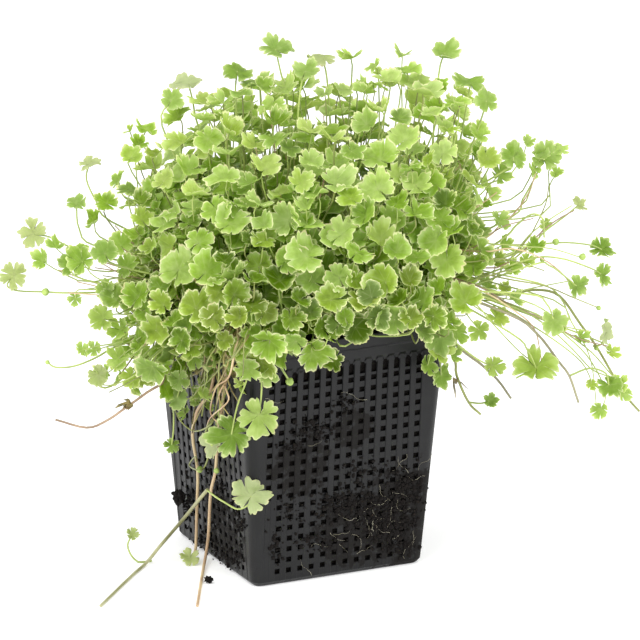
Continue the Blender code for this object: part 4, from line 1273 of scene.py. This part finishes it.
# From the tip up.
HANGING_STEMS = {
    "stem_hanging_1":
        along_floor((194, 554))
        + along_side((196, 545), (197, 510), (198, 471), (193, 435), (198, 410), (212, 388))
        + places([(215, 350, 44), (212, 300, 46)]),
    "stem_hanging_2":
        along_floor((198, 604), (203, 572))
        + along_side((207, 548), (209, 530), (211, 493), (216, 470), (218, 440), (222, 410),
                     (226, 380))
        + places([(229, 345, 58), (240, 285, 55)]),
    "stem_hanging_3":
        along_floor((102, 604), (144, 565)) + places([(160, 546, 22)])
        + along_side((185, 517), (198, 501), clear=4.0 * STEM_RADIUS)
        + along_side((208, 489), clear=STEM_RADIUS),
}


def make_hanging_stems(finishes):
    for name, points in HANGING_STEMS.items():
        route = above_floor(smooth_route(points), STEM_RADIUS)
        add_rod(name, route, STEM_RADIUS * STEM_TIP_SHARE, STEM_RADIUS, finishes[name])


def add_bud(bm, spot, radius, rounds, bumps, grain):
    """Adds a round bud whose surface rises and sinks by a share of its radius."""
    start = len(bm.verts)
    bmesh.ops.create_icosphere(bm, subdivisions=rounds, radius=radius)
    bm.verts.ensure_lookup_table()
    grown = bm.verts[start:]
    for vertex in grown:
        vertex.co *= 1.0 + bumps * noise.noise(vertex.co / grain)
    bmesh.ops.translate(bm, vec=spot, verts=grown)


def make_bud(bud_skin, stalk_skin):
    """A head of closed flower buds, like a small green berry cluster."""
    middle = place(290, 381, 62)
    bm = bmesh.new()
    add_bud(bm, middle, 1.7 * MM, 3, 0.14, 1.1 * MM)
    route = smooth_route([middle] + places([(283, 370, 63), (270, 350, 62)]))
    join_stalk(bm, route, STALK_RADIUS)
    add_piece("bud_front_fine", bm, [bud_skin, stalk_skin], "bud_front")


# Leaves and bare stalks around the crown's edge: x, y, forward, radius in the view's
# points, how the leaf looks, how light it is, and its stalk's points, x and y.
FRINGE_LEAVES = [
    (45, 262, 34, 11, "left", 0.6, [(62, 272), (95, 282)]),
    (58, 249, 30, 10, "up", 0.4, [(75, 262), (110, 272)]),
    (84, 249, 24, 9, "up", 0.5, [(100, 258), (130, 266)]),
    (84, 262, 42, 14, "front", 0.3, [(98, 278), (130, 284)]),
    (77, 298, 36, 7, "down", 0.6, [(80, 290), (110, 288)]),
    (122, 246, 30, 12, "front", 0.55, [(130, 258), (150, 268)]),
    (128, 268, 36, 12, "left", 0.45, [(140, 275), (160, 280)]),
    (108, 290, 40, 10, "front", 0.5, [(120, 292), (150, 295)]),
    (104, 316, 38, 9, "left", 0.75, [(118, 314), (150, 312)]),
    (122, 330, 40, 12, "front", 0.65, [(132, 325), (155, 320)]),
    (84, 350, 42, 8, "right", 0.8, [(98, 346), (130, 338)]),
    (97, 350, 40, 8, "front", 0.75, [(110, 346), (135, 340)]),
    (107, 374, 44, 10, "left", 0.6, [(118, 366), (140, 350)]),
    (120, 358, 42, 12, "front", 0.7, [(130, 350), (148, 340)]),
    (132, 376, 42, 11, "down", 0.55, [(138, 366), (150, 350)]),
    (180, 379, 40, 11, "down", 0.45, [(182, 366), (180, 350)]),
    (203, 393, 48, 9, "right", 0.85, [(208, 378), (212, 352)]),
    (216, 436, 52, 9, "left", 0.7, [(220, 424), (222, 402)]),
    (242, 386, 58, 7, "right", 0.7, [(240, 370), (238, 352)]),
    (196, 357, 44, 10, "down", 0.6, [(200, 348), (205, 335)]),
    (163, 352, 34, 12, "down", 0.55, [(166, 342), (170, 330)]),
    (498, 176, 4, 12, "right", 0.6, [(488, 186), (470, 200)]),
    (526, 144, -10, 7, "folded", 0.7, [(520, 160), (500, 180)]),
    # The next three leaves, beside leaf_right_1, are set lighter: painted light that lifts the shade
    # of their clump.
    (541, 156, -20, 8, "flat", 0.85, [(532, 172), (510, 200)]),
    (560, 150, -24, 8, "flat", 0.8, [(548, 172), (541, 205)]),
    (533, 171, -18, 9, "right", 0.7, [(534, 176), (514, 212)]),
    (556, 174, -24, 8, "folded", 0.7, [(549, 186), (541, 215)]),
    (485, 205, 10, 6, "folded", 0.15, [(478, 212), (460, 222)]),
    (498, 222, 14, 11, "right", 0.55, [(488, 230), (465, 240)]),
    (503, 245, 20, 10, "right", 0.45, [(492, 250), (470, 258)]),
    (533, 247, 20, 9, "front", 0.2, [(522, 252), (500, 262)]),
    (545, 224, -14, 6, "down", 0.6, [(541, 232), (525, 245)]),
    (512, 268, 26, 9, "front", 0.5, [(500, 272), (475, 276)]),
    (524, 262, 24, 8, "right", 0.35, [(510, 268), (480, 276)]),
    (495, 318, 40, 11, "right", 0.6, [(482, 312), (462, 300)]),
    (478, 330, 38, 10, "down", 0.65, [(470, 320), (455, 305)]),
    (512, 300, 36, 9, "right", 0.45, [(500, 298), (475, 292)]),
    (556, 326, 46, 9, "front", 0.6, [(545, 312), (520, 300)]),
    (579, 338, 34, 9, "folded", 0.6, [(570, 322), (552, 300)]),
    (610, 352, 32, 9, "right", 0.6, [(602, 345), (590, 338)]),
    (616, 383, 40, 10, "front", 0.7, [(606, 376), (590, 369), (572, 350), (548, 328), (515, 308)]),
    (600, 408, 42, 9, "down", 0.6, [(604, 396), (599, 378), (585, 355), (565, 336), (535, 314)]),
    (622, 392, 34, 8, "right", 0.65, [(618, 384), (606, 370), (590, 352), (566, 334), (530, 312)]),
    (590, 383, 40, 6, "down", 0.6, [(588, 376), (580, 362), (560, 345), (530, 325), (500, 308)]),
    (427, 365, 42, 11, "right", 0.5, [(430, 350), (428, 325)]),
    (452, 352, 40, 10, "right", 0.45, [(448, 340), (440, 320)]),
    (436, 350, 44, 14, "right", 0.7, [(436, 335), (432, 312)]),
    (455, 330, 38, 12, "right", 0.55, [(450, 320), (440, 305)]),
]

# Bare stalks and thin runners, from tip to crown: forward, then x, y.
LOOSE_STALKS = [
    (30, [(84, 290), (121, 284), (160, 275)]), (34, [(60, 270), (100, 284), (150, 286)]),
    (28, [(96, 268), (130, 272), (170, 268)]), (36, [(78, 282), (118, 290), (165, 292)]),
    (24, [(112, 240), (136, 256), (170, 262)]), (38, [(104, 276), (134, 280), (168, 284)]),
    (26, [(84, 252), (116, 266), (160, 270)]), (20, [(116, 226), (138, 246), (170, 250)]),
    (32, [(100, 262), (128, 276), (165, 278)]), (40, [(70, 293), (112, 296), (160, 298)]),
    (44, [(110, 392), (130, 382), (152, 368), (165, 345)]),
    (46, [(98, 384), (116, 384), (140, 372), (160, 350)]),
    (16, [(496, 193), (478, 206), (455, 219)]), (6, [(573, 211), (558, 219), (543, 230), (496, 268)]),
    (-6, [(535, 174), (528, 193), (515, 212), (500, 225), (478, 240)]),
    (-10, [(548, 186), (545, 204), (535, 226), (526, 240), (500, 262)]),
    (-4, [(571, 206), (550, 219), (528, 236), (507, 262), (480, 285)]),
    (14, [(532, 219), (505, 226), (487, 236), (465, 250)]),
    (24, [(580, 258), (550, 249), (520, 247), (494, 245), (465, 252)]),
    (30, [(573, 290), (558, 271), (535, 256), (509, 249), (480, 252)]),
    (34, [(543, 271), (509, 260), (487, 260), (460, 262)]),
    (32, [(569, 281), (532, 288), (506, 294), (470, 296)]),
    (36, [(511, 272), (506, 271), (476, 279), (455, 282)]),
    (38, [(606, 346), (576, 338), (543, 320), (506, 303), (476, 286)]),
    (40, [(584, 331), (550, 323), (513, 308), (476, 294)]),
    (42, [(540, 362), (539, 353), (532, 327), (509, 308), (478, 290)]),
    (44, [(543, 368), (520, 353), (491, 323), (468, 300)]),
    (34, [(595, 405), (591, 368), (584, 346), (569, 320), (561, 301), (545, 286), (500, 275)]),
    (36, [(597, 308), (570, 297), (543, 286), (500, 278)]),
]

# Twining stems in front of the basket's left side: x, y from the tip upwards.
TANGLE_STEMS = [
    [(192, 435), (196, 421), (204, 406), (214, 392), (224, 380), (229, 362), (228, 344)],
    [(222, 414), (225, 384), (236, 362), (246, 345)],
    [(176, 372), (190, 378), (206, 372), (218, 356), (226, 338)],
    [(168, 386), (186, 390), (206, 384), (222, 368), (236, 346)],
    [(196, 404), (190, 384), (194, 364), (204, 344)],
    [(206, 416), (202, 394), (208, 372), (216, 348)],
    [(214, 402), (222, 388), (232, 372), (240, 350)],
    [(174, 412), (182, 424), (194, 430), (208, 420), (216, 404), (220, 384), (222, 350)],
    [(186, 360), (198, 366), (210, 360), (220, 346)],
    [(236, 398), (228, 384), (224, 366), (230, 346)],
    [(200, 462), (194, 460), (193, 466), (199, 468), (204, 464), (206, 448), (208, 425)],
    [(183, 352), (196, 350), (210, 346), (226, 338)],
    [(190, 420), (198, 402), (196, 384), (206, 366), (210, 346)],
    [(230, 412), (220, 396), (216, 378), (206, 362), (200, 344)],
    [(212, 440), (216, 424), (212, 408), (218, 390), (232, 374), (238, 350)],
    [(180, 398), (194, 394), (200, 380), (214, 366), (232, 358), (240, 344)],
    [(204, 432), (212, 416), (226, 404), (230, 388), (222, 370), (214, 350)],
    [(170, 352), (184, 362), (204, 366), (222, 360), (240, 346)],
]

# Small leaves among them: x, y, radius in the view's points, look and lightness.
TANGLE_LEAVES = [
    (185, 413, 9, "left", 0.5), (205, 381, 9, "right", 0.85), (199, 391, 8, "down", 0.6),
    (208, 407, 6, "right", 0.4), (208, 355, 11, "down", 0.15), (200, 342, 12, "left", 0.1),
    (224, 338, 11, "down", 0.2), (228, 352, 9, "down", 0.3), (190, 352, 10, "left", 0.2),
    (186, 372, 8, "down", 0.3), (213, 368, 7, "left", 0.35), (232, 372, 8, "right", 0.5),
    (172, 360, 10, "left", 0.2), (242, 384, 7, "folded", 0.9), (222, 428, 7, "left", 0.9),
    (178, 345, 11, "left", 0.3), (239, 345, 10, "down", 0.25), (196, 400, 6, "down", 0.45),
]
# From this height upwards their stalks run on into the crown.
TANGLE_TOP = 335

# Buds: x, y, forward and radius in the view's points.
LOOSE_BUDS = [(47, 292, 30, 4.0), (555, 242, -2, 3.6), (541, 260, 26, 2.6),
              (581, 257, 24, 3.6), (597, 308, 36, 2.6), (49, 362, 36, 2.4),
              (595, 348, 30, 2.6)]
# Buds on the hanging stems: x, y and radius in the view's points.
STEM_BUDS = [(200, 469, 3.4), (217, 470, 3.0)]


def grow_tangle(bm, rods, templates, chance):
    """Twining stems and small leaves in front of the basket's left side."""
    for stem in TANGLE_STEMS:
        knots = [on_left_side(x + chance.uniform(-4.0, 4.0), y + chance.uniform(-4.0, 4.0),
                              chance.uniform(3.0, 11.0) * MM) for x, y in stem]
        inner = CROWN_MIDDLE + random_vector(chance, 22.0 * MM)
        rods.append((route_inwards(knots, 0.3, 4, inner), CROWN_STALK_RADIUS, STALK_RADIUS,
                     chance.choice((1, 1, 2, 4, 4))))
    for x, y, points, look, tone in TANGLE_LEAVES:
        across, up, ahead, *bend = LOOKS[look]
        spot = on_left_side(x, y, chance.uniform(2.5, 6.0) * MM)
        turned = random_vector(chance, 0.3)
        way = facing(across + turned[0] - 0.3, up + turned[1], ahead + turned[2])
        aside = chance.uniform(-10.0, 14.0)
        knots = [on_left_side(x + aside * 0.5, y - 16, chance.uniform(4.0, 8.0) * MM),
                 on_left_side(x + aside, min(y - 36, TANGLE_TOP), 6.0 * MM)]
        route = route_inwards([spot] + knots, 0.3, 3)
        grow_leaf(bm, templates, chance, spot, points / VIEW_POINTS_PER_METRE, way, route,
                  bend, tone)
        rods.append((route, FRINGE_STALK_RADIUS, CROWN_STALK_RADIUS,
                     chance.choice((1, 4, 4, 1))))


def make_fringe(blade, stalks):
    """The loose leaves, bare stalks and twining stems around the crown."""
    chance = random.Random(41)
    templates = [make_blade_template(5, 12, notch, 0.11, MEDIUM_RINGS)
                 for notch in (0.66, 0.50, 0.38)]
    bm = new_blades()
    rods = []
    for x, y, forward, points, look, tone, stalk in FRINGE_LEAVES:
        across, up, ahead, *bend = LOOKS[look]
        spot = place(x, y, forward)
        way = facing(across + chance.uniform(-0.2, 0.2), up + chance.uniform(-0.2, 0.2), ahead)
        route = route_inwards([spot] + places(stalk, forward), 0.4, 3)
        grow_leaf(bm, templates, chance, spot, points * 1.1 / VIEW_POINTS_PER_METRE, way,
                  route, bend, tone)
        rods.append((route, FRINGE_STALK_RADIUS, FRINGE_STALK_FOOT, 0))
    for forward, stalk in LOOSE_STALKS:
        rods.append((route_inwards(places(stalk, forward), 0.4, 4), FRINGE_STALK_RADIUS,
                     FRINGE_STALK_FOOT, chance.choice((0, 0, 0, 1, 2, 3))))
    grow_tangle(bm, rods, templates, chance)
    add_crown_piece("fringe_leaves", bm, [blade])
    add_crown_piece("fringe_stalks", rods_mesh("fringe_stalks", rods, FRINGE_SIDES, stalks), [])


def make_loose_buds(bud_skin):
    bm = bmesh.new()
    buds = [(place(x, y, forward), points) for x, y, forward, points in LOOSE_BUDS]
    buds += [(on_left_side(x, y, BAND_STAND + 3.0 * STEM_RADIUS), points)
             for x, y, points in STEM_BUDS]
    for spot, points in buds:
        add_bud(bm, spot, points / VIEW_POINTS_PER_METRE, 2, 0.15, 0.8 * MM)
    add_crown_piece("fringe_buds", bm, [bud_skin])


# Withered leaves, crumpled on the runners that carry them: x, y, forward and radius in
# the view's points.
WITHERED_LEAVES = [(132, 402, 48, 8), (453, 377, 30, 10), (128, 407, 49, 5), (192, 348, 30, 6),
                   (199, 372, 36, 7), (206, 350, 42, 7), (234, 376, 62, 5), (222, 392, 54, 4),
                   (214, 338, 48, 6), (186, 362, 26, 5)]


def make_withered(skin):
    """The crumpled brown leaves."""
    chance = random.Random(3)
    bm = new_blades()
    template = make_blade_template(5, 6, 0.6, 0.12)
    for x, y, forward, points in WITHERED_LEAVES:
        way = random_vector(chance, 1.0).normalized()
        grow_blade(bm, template, place(x, y, forward), points / VIEW_POINTS_PER_METRE, way,
                   way.orthogonal(), (0.7, 0.6, 0.5, chance.uniform(0.0, math.tau)), 0.5, 0.5)
    add_crown_piece("withered_leaves", bm, [skin])


# Soil.

# Peat smeared on the basket: x, y, reach across and down in the view's points, crumbs.
FRONT_DIRT = [(310, 428, 24, 12, 150), (345, 404, 12, 9, 60), (292, 446, 12, 6, 40),
              (345, 505, 34, 20, 380), (390, 520, 30, 28, 640), (405, 488, 18, 20, 300),
              (318, 542, 30, 9, 110), (275, 545, 9, 22, 60), (365, 470, 30, 12, 80),
              (290, 510, 14, 14, 60), (400, 545, 20, 9, 120), (424, 500, 7, 30, 90),
              (372, 515, 40, 26, 160)]
LEFT_DIRT = [(187, 505, 6, 20, 70), (205, 545, 14, 16, 120), (228, 558, 14, 12, 110),
             (240, 520, 8, 22, 60), (200, 470, 14, 24, 50), (222, 500, 10, 24, 60)]
# How many of the crumbs that fall on a corner stay on it.
CORNER_CRUMBS = 0.12
# Where pale roots start on the front, and how far apart their points are in the view.
ROOT_FIELD = [(392, 470), (408, 498), (350, 530), (372, 545), (398, 540), (336, 512),
              (380, 505), (404, 520), (360, 548), (345, 540), (418, 470), (322, 440),
              (388, 530), (412, 548), (398, 488), (384, 518), (376, 532), (410, 508),
              (402, 532), (356, 522), (366, 538), (416, 536), (390, 500), (348, 552),
              (374, 524), (406, 476), (330, 545), (300, 558), (365, 515), (398, 456),
              (342, 392), (285, 400)]
ROOT_STEP = 3.0


def make_crumbs(peat, chance):
    """Crumbs of peat that cling to the outside of the basket."""
    bm = bmesh.new()
    for side, along, into, patches in ((on_front_side, 0, 1, FRONT_DIRT),
                                       (on_left_side, 1, 0, LEFT_DIRT)):
        for x, y, across, down, count in patches:
            for _ in range(count):
                spot = side(x + chance.gauss(0.0, 0.5) * across,
                            y + chance.gauss(0.0, 0.5) * down, chance.uniform(-0.3, 0.4) * MM)
                past = abs(spot[along]) - side_at(spot.z) / 2.0 + CORNER_RADIUS
                if past > CORNER_RADIUS or spot.z < 0.5 * MM:
                    continue
                if past > 0.0 and chance.random() > CORNER_CRUMBS:
                    continue
                if past > 0.0:
                    spot[into] += CORNER_RADIUS - math.sqrt(CORNER_RADIUS ** 2 - past ** 2)
                size = chance.uniform(0.25, 0.60) * chance.choice((0.6, 0.8, 1.1, 1.6, 2.2)) * MM
                stretch = Matrix.Diagonal((size, size * 0.7, size * chance.uniform(0.5, 1.2), 1.0))
                turn = Matrix.Rotation(chance.uniform(0.0, math.tau), 4, random_vector(chance, 1.0))
                bmesh.ops.create_icosphere(bm, subdivisions=1, radius=1.0,
                                           matrix=Matrix.Translation(spot) @ turn @ stretch)
    add_piece("peat_crumbs", bm, [peat], "basket")


def make_roots(root_skin, chance):
    """Fine pale roots that cling to the front of the basket."""
    rods = []
    for x, y in ROOT_FIELD:
        heading = chance.uniform(0.0, math.tau)
        route = []
        for _ in range(chance.randint(5, 10)):
            spot = on_front_side(x, y, chance.uniform(0.2, 0.5) * MM)
            if spot.z < 1.0 * MM:
                break
            route.append(spot)
            heading += chance.uniform(-0.7, 0.7)
            x += ROOT_STEP * math.cos(heading)
            y += ROOT_STEP * math.sin(heading)
        if len(route) > 2:
            rods.append((smooth_route(route, 3), 0.02 * MM, 0.06 * MM, 0))
    add_piece("pale_roots", rods_mesh("pale_roots", rods, 0), [root_skin], "basket")


def make_dirt(peat, root_skin):
    """What clings to the outside of the basket."""
    chance = random.Random(5)
    make_crumbs(peat, chance)
    make_roots(root_skin, chance)


def make_clump(name, middle, size, seed, peat):
    """A torn lump of peat fibre that rests on the floor if it reaches it."""
    bm = bmesh.new()
    bmesh.ops.create_icosphere(bm, subdivisions=4, radius=1.0)
    for vertex in bm.verts:
        ragged = noise.noise(vertex.co * 2.2 + Vector((seed, 0.0, 0.0)))
        fine = noise.noise(vertex.co * 6.0 + Vector((0.0, seed, 0.0)))
        vertex.co *= 0.78 + 0.55 * ragged + 0.30 * fine
    bmesh.ops.scale(bm, vec=size, verts=bm.verts)
    bmesh.ops.translate(bm, vec=middle, verts=bm.verts)
    low = min(vertex.co.z for vertex in bm.verts)
    if low < 0.0:
        bmesh.ops.translate(bm, vec=(0.0, 0.0, -low), verts=bm.verts)
    add_piece(name + "_fine", bm, [peat], name)


def make_soil(peat):
    """The packed soil keeps its solid; the loose lumps get their torn shape."""
    for finish_slot in bpy.data.objects["soil"].material_slots:
        finish_slot.material = peat
    make_clump("soil_clump", on_left_side(179, 497, 0.0036), (0.0030, 0.0045, 0.0035), 3, peat)
    make_clump("soil_crumb", on_floor(209, 579, 0.0016), (0.0022, 0.0018, 0.0016), 5, peat)


# Floor, light and camera.

CAMERA_DISTANCE = 12.0
CAMERA_SEES_TO = 40.0
SENSOR = 36.0
FLOOR_HALF = 6.0
LIT_MIDDLE = Vector((0.0, 0.0, 0.10))
# Soft lights: how far across, forward and up from what they light, and their power.
LIGHTS = {"key": (-0.7, 0.8, 1.2, 14.0), "fill": (0.9, 0.7, 0.8, 8.0)}
LIGHT_SIZE = 1.0


def add_camera():
    """A long lens at the height and turn of the view."""
    width = VIEW_POINTS / VIEW_POINTS_PER_METRE
    right, up = view_offsets(VIEW_POINTS / 2, VIEW_POINTS / 2)
    lens = bpy.data.cameras.new("view")
    lens.sensor_width = SENSOR
    lens.lens = SENSOR * CAMERA_DISTANCE / width
    lens.clip_end = CAMERA_SEES_TO
    camera = add_object("view", lens)
    above = NEAR.cross(ACROSS)
    turn = Matrix((ACROSS, above, NEAR)).transposed().to_4x4()
    aim = ACROSS * right + above * up
    camera.matrix_world = Matrix.Translation(aim + NEAR * CAMERA_DISTANCE) @ turn
    bpy.context.scene.camera = camera


def add_light(name, spot, power):
    """A soft square light that the camera doesn't see."""
    lamp = bpy.data.lights.new(name, "AREA")
    lamp.size = LIGHT_SIZE
    lamp.energy = power
    light = add_object(name, lamp)
    turn = (LIT_MIDDLE - spot).normalized().to_track_quat("-Z", "Y").to_matrix().to_4x4()
    light.matrix_world = Matrix.Translation(spot) @ turn
    light.visible_camera = False


def set_stage():
    """A white floor, an even white surround and soft light from above and the front."""
    bm = bmesh.new()
    bmesh.ops.create_grid(bm, x_segments=1, y_segments=1, size=FLOOR_HALF)
    floor = add_object("floor", finish_mesh(bm, "floor", False))
    floor.data.materials.append(make_floor_material())
    world = bpy.data.worlds.new("studio")
    world.use_nodes = True
    sky = world.node_tree.nodes["Background"]
    sky.inputs["Color"].default_value = (1.0, 1.0, 1.0, 1.0)
    sky.inputs["Strength"].default_value = 1.0
    bpy.context.scene.world = world
    for name, (across, ahead, up, power) in LIGHTS.items():
        add_light(name, LIT_MIDDLE + ACROSS * across + FORWARD * ahead + UPWARD * up, power)
    bpy.context.scene.view_settings.view_transform = "Standard"


add_camera()
set_stage()

# Leaf skins: greens from dark to light, the border, the rim, its width and its share.
leaf_blade, young_blade, pale_blade = [make_leaf_blade_material(*row) for row in (
    ("cream_edged_leaf_blade", ("#56720A", "#9DC042", "#C6DC82"), "#DCEAA8", "#F1F0C0",
     0.18, 0.90),
    ("young_plain_leaf_blade", ("#6E8F26", "#9BBA50", "#C4D888"), "#D0E098", "#E9EDB6",
     0.16, 0.82),
    ("pale_yellowing_leaf_blade", ("#A6B478", "#BAC690", "#D5DAAE"), "#D5DAAE", "#ECEBC4",
     0.14, 0.75))]
# Stalk skins: pale and deep colour and the length in millimetres over which they change.
(green_stalk, olive_stalk, tan_stem, red_stem, grey_stem, brown_stalk, withered_leaf,
 dark_stem, pale_root, bud_green) = [make_stalk_material(*row) for row in (
    ("yellow_green_stalk", "#ADBF60", "#869B48", 14.0),
    ("olive_stalk", "#8C9446", "#6C7434", 14.0),
    ("ripened_tan_stem", "#D2B891", "#B78F72", 18.0),
    ("reddish_runner", "#A5836F", "#7C5A50", 12.0),
    ("grey_olive_stem", "#A9A780", "#7C7B50", 20.0),
    ("yellow_brown_stalk", "#9C8C48", "#6B5830", 10.0),
    ("withered_brown_leaf", "#8C7440", "#4E3E28", 3.0),
    ("dark_ripened_stem", "#918A70", "#5E5848", 16.0),
    ("pale_root", "#C4BDAC", "#857C6C", 4.0),
    ("green_flower_bud", "#A9C45E", "#7FA03C", 3.0))]

black_plastic = make_basket_material()
peat = make_peat_material()

make_basket(black_plastic)
make_soil(peat)
make_crown(leaf_blade, [green_stalk, olive_stalk, tan_stem, brown_stalk])
make_single_leaves(young_blade, pale_blade, green_stalk)
make_fringe(young_blade, [green_stalk, olive_stalk, tan_stem, red_stem, brown_stalk])
make_loose_buds(bud_green)
make_withered(withered_leaf)
make_dirt(peat, pale_root)
make_runners({"runner": green_stalk, "runner_left_2": red_stem, "runner_right_3": dark_stem,
              "runner_right_4": dark_stem, "runner_right_5": olive_stalk,
              "runner_right_2": olive_stalk})
make_hanging_stems({"stem_hanging_1": tan_stem, "stem_hanging_2": tan_stem,
                    "stem_hanging_3": grey_stem})
make_bud(bud_green, green_stalk)
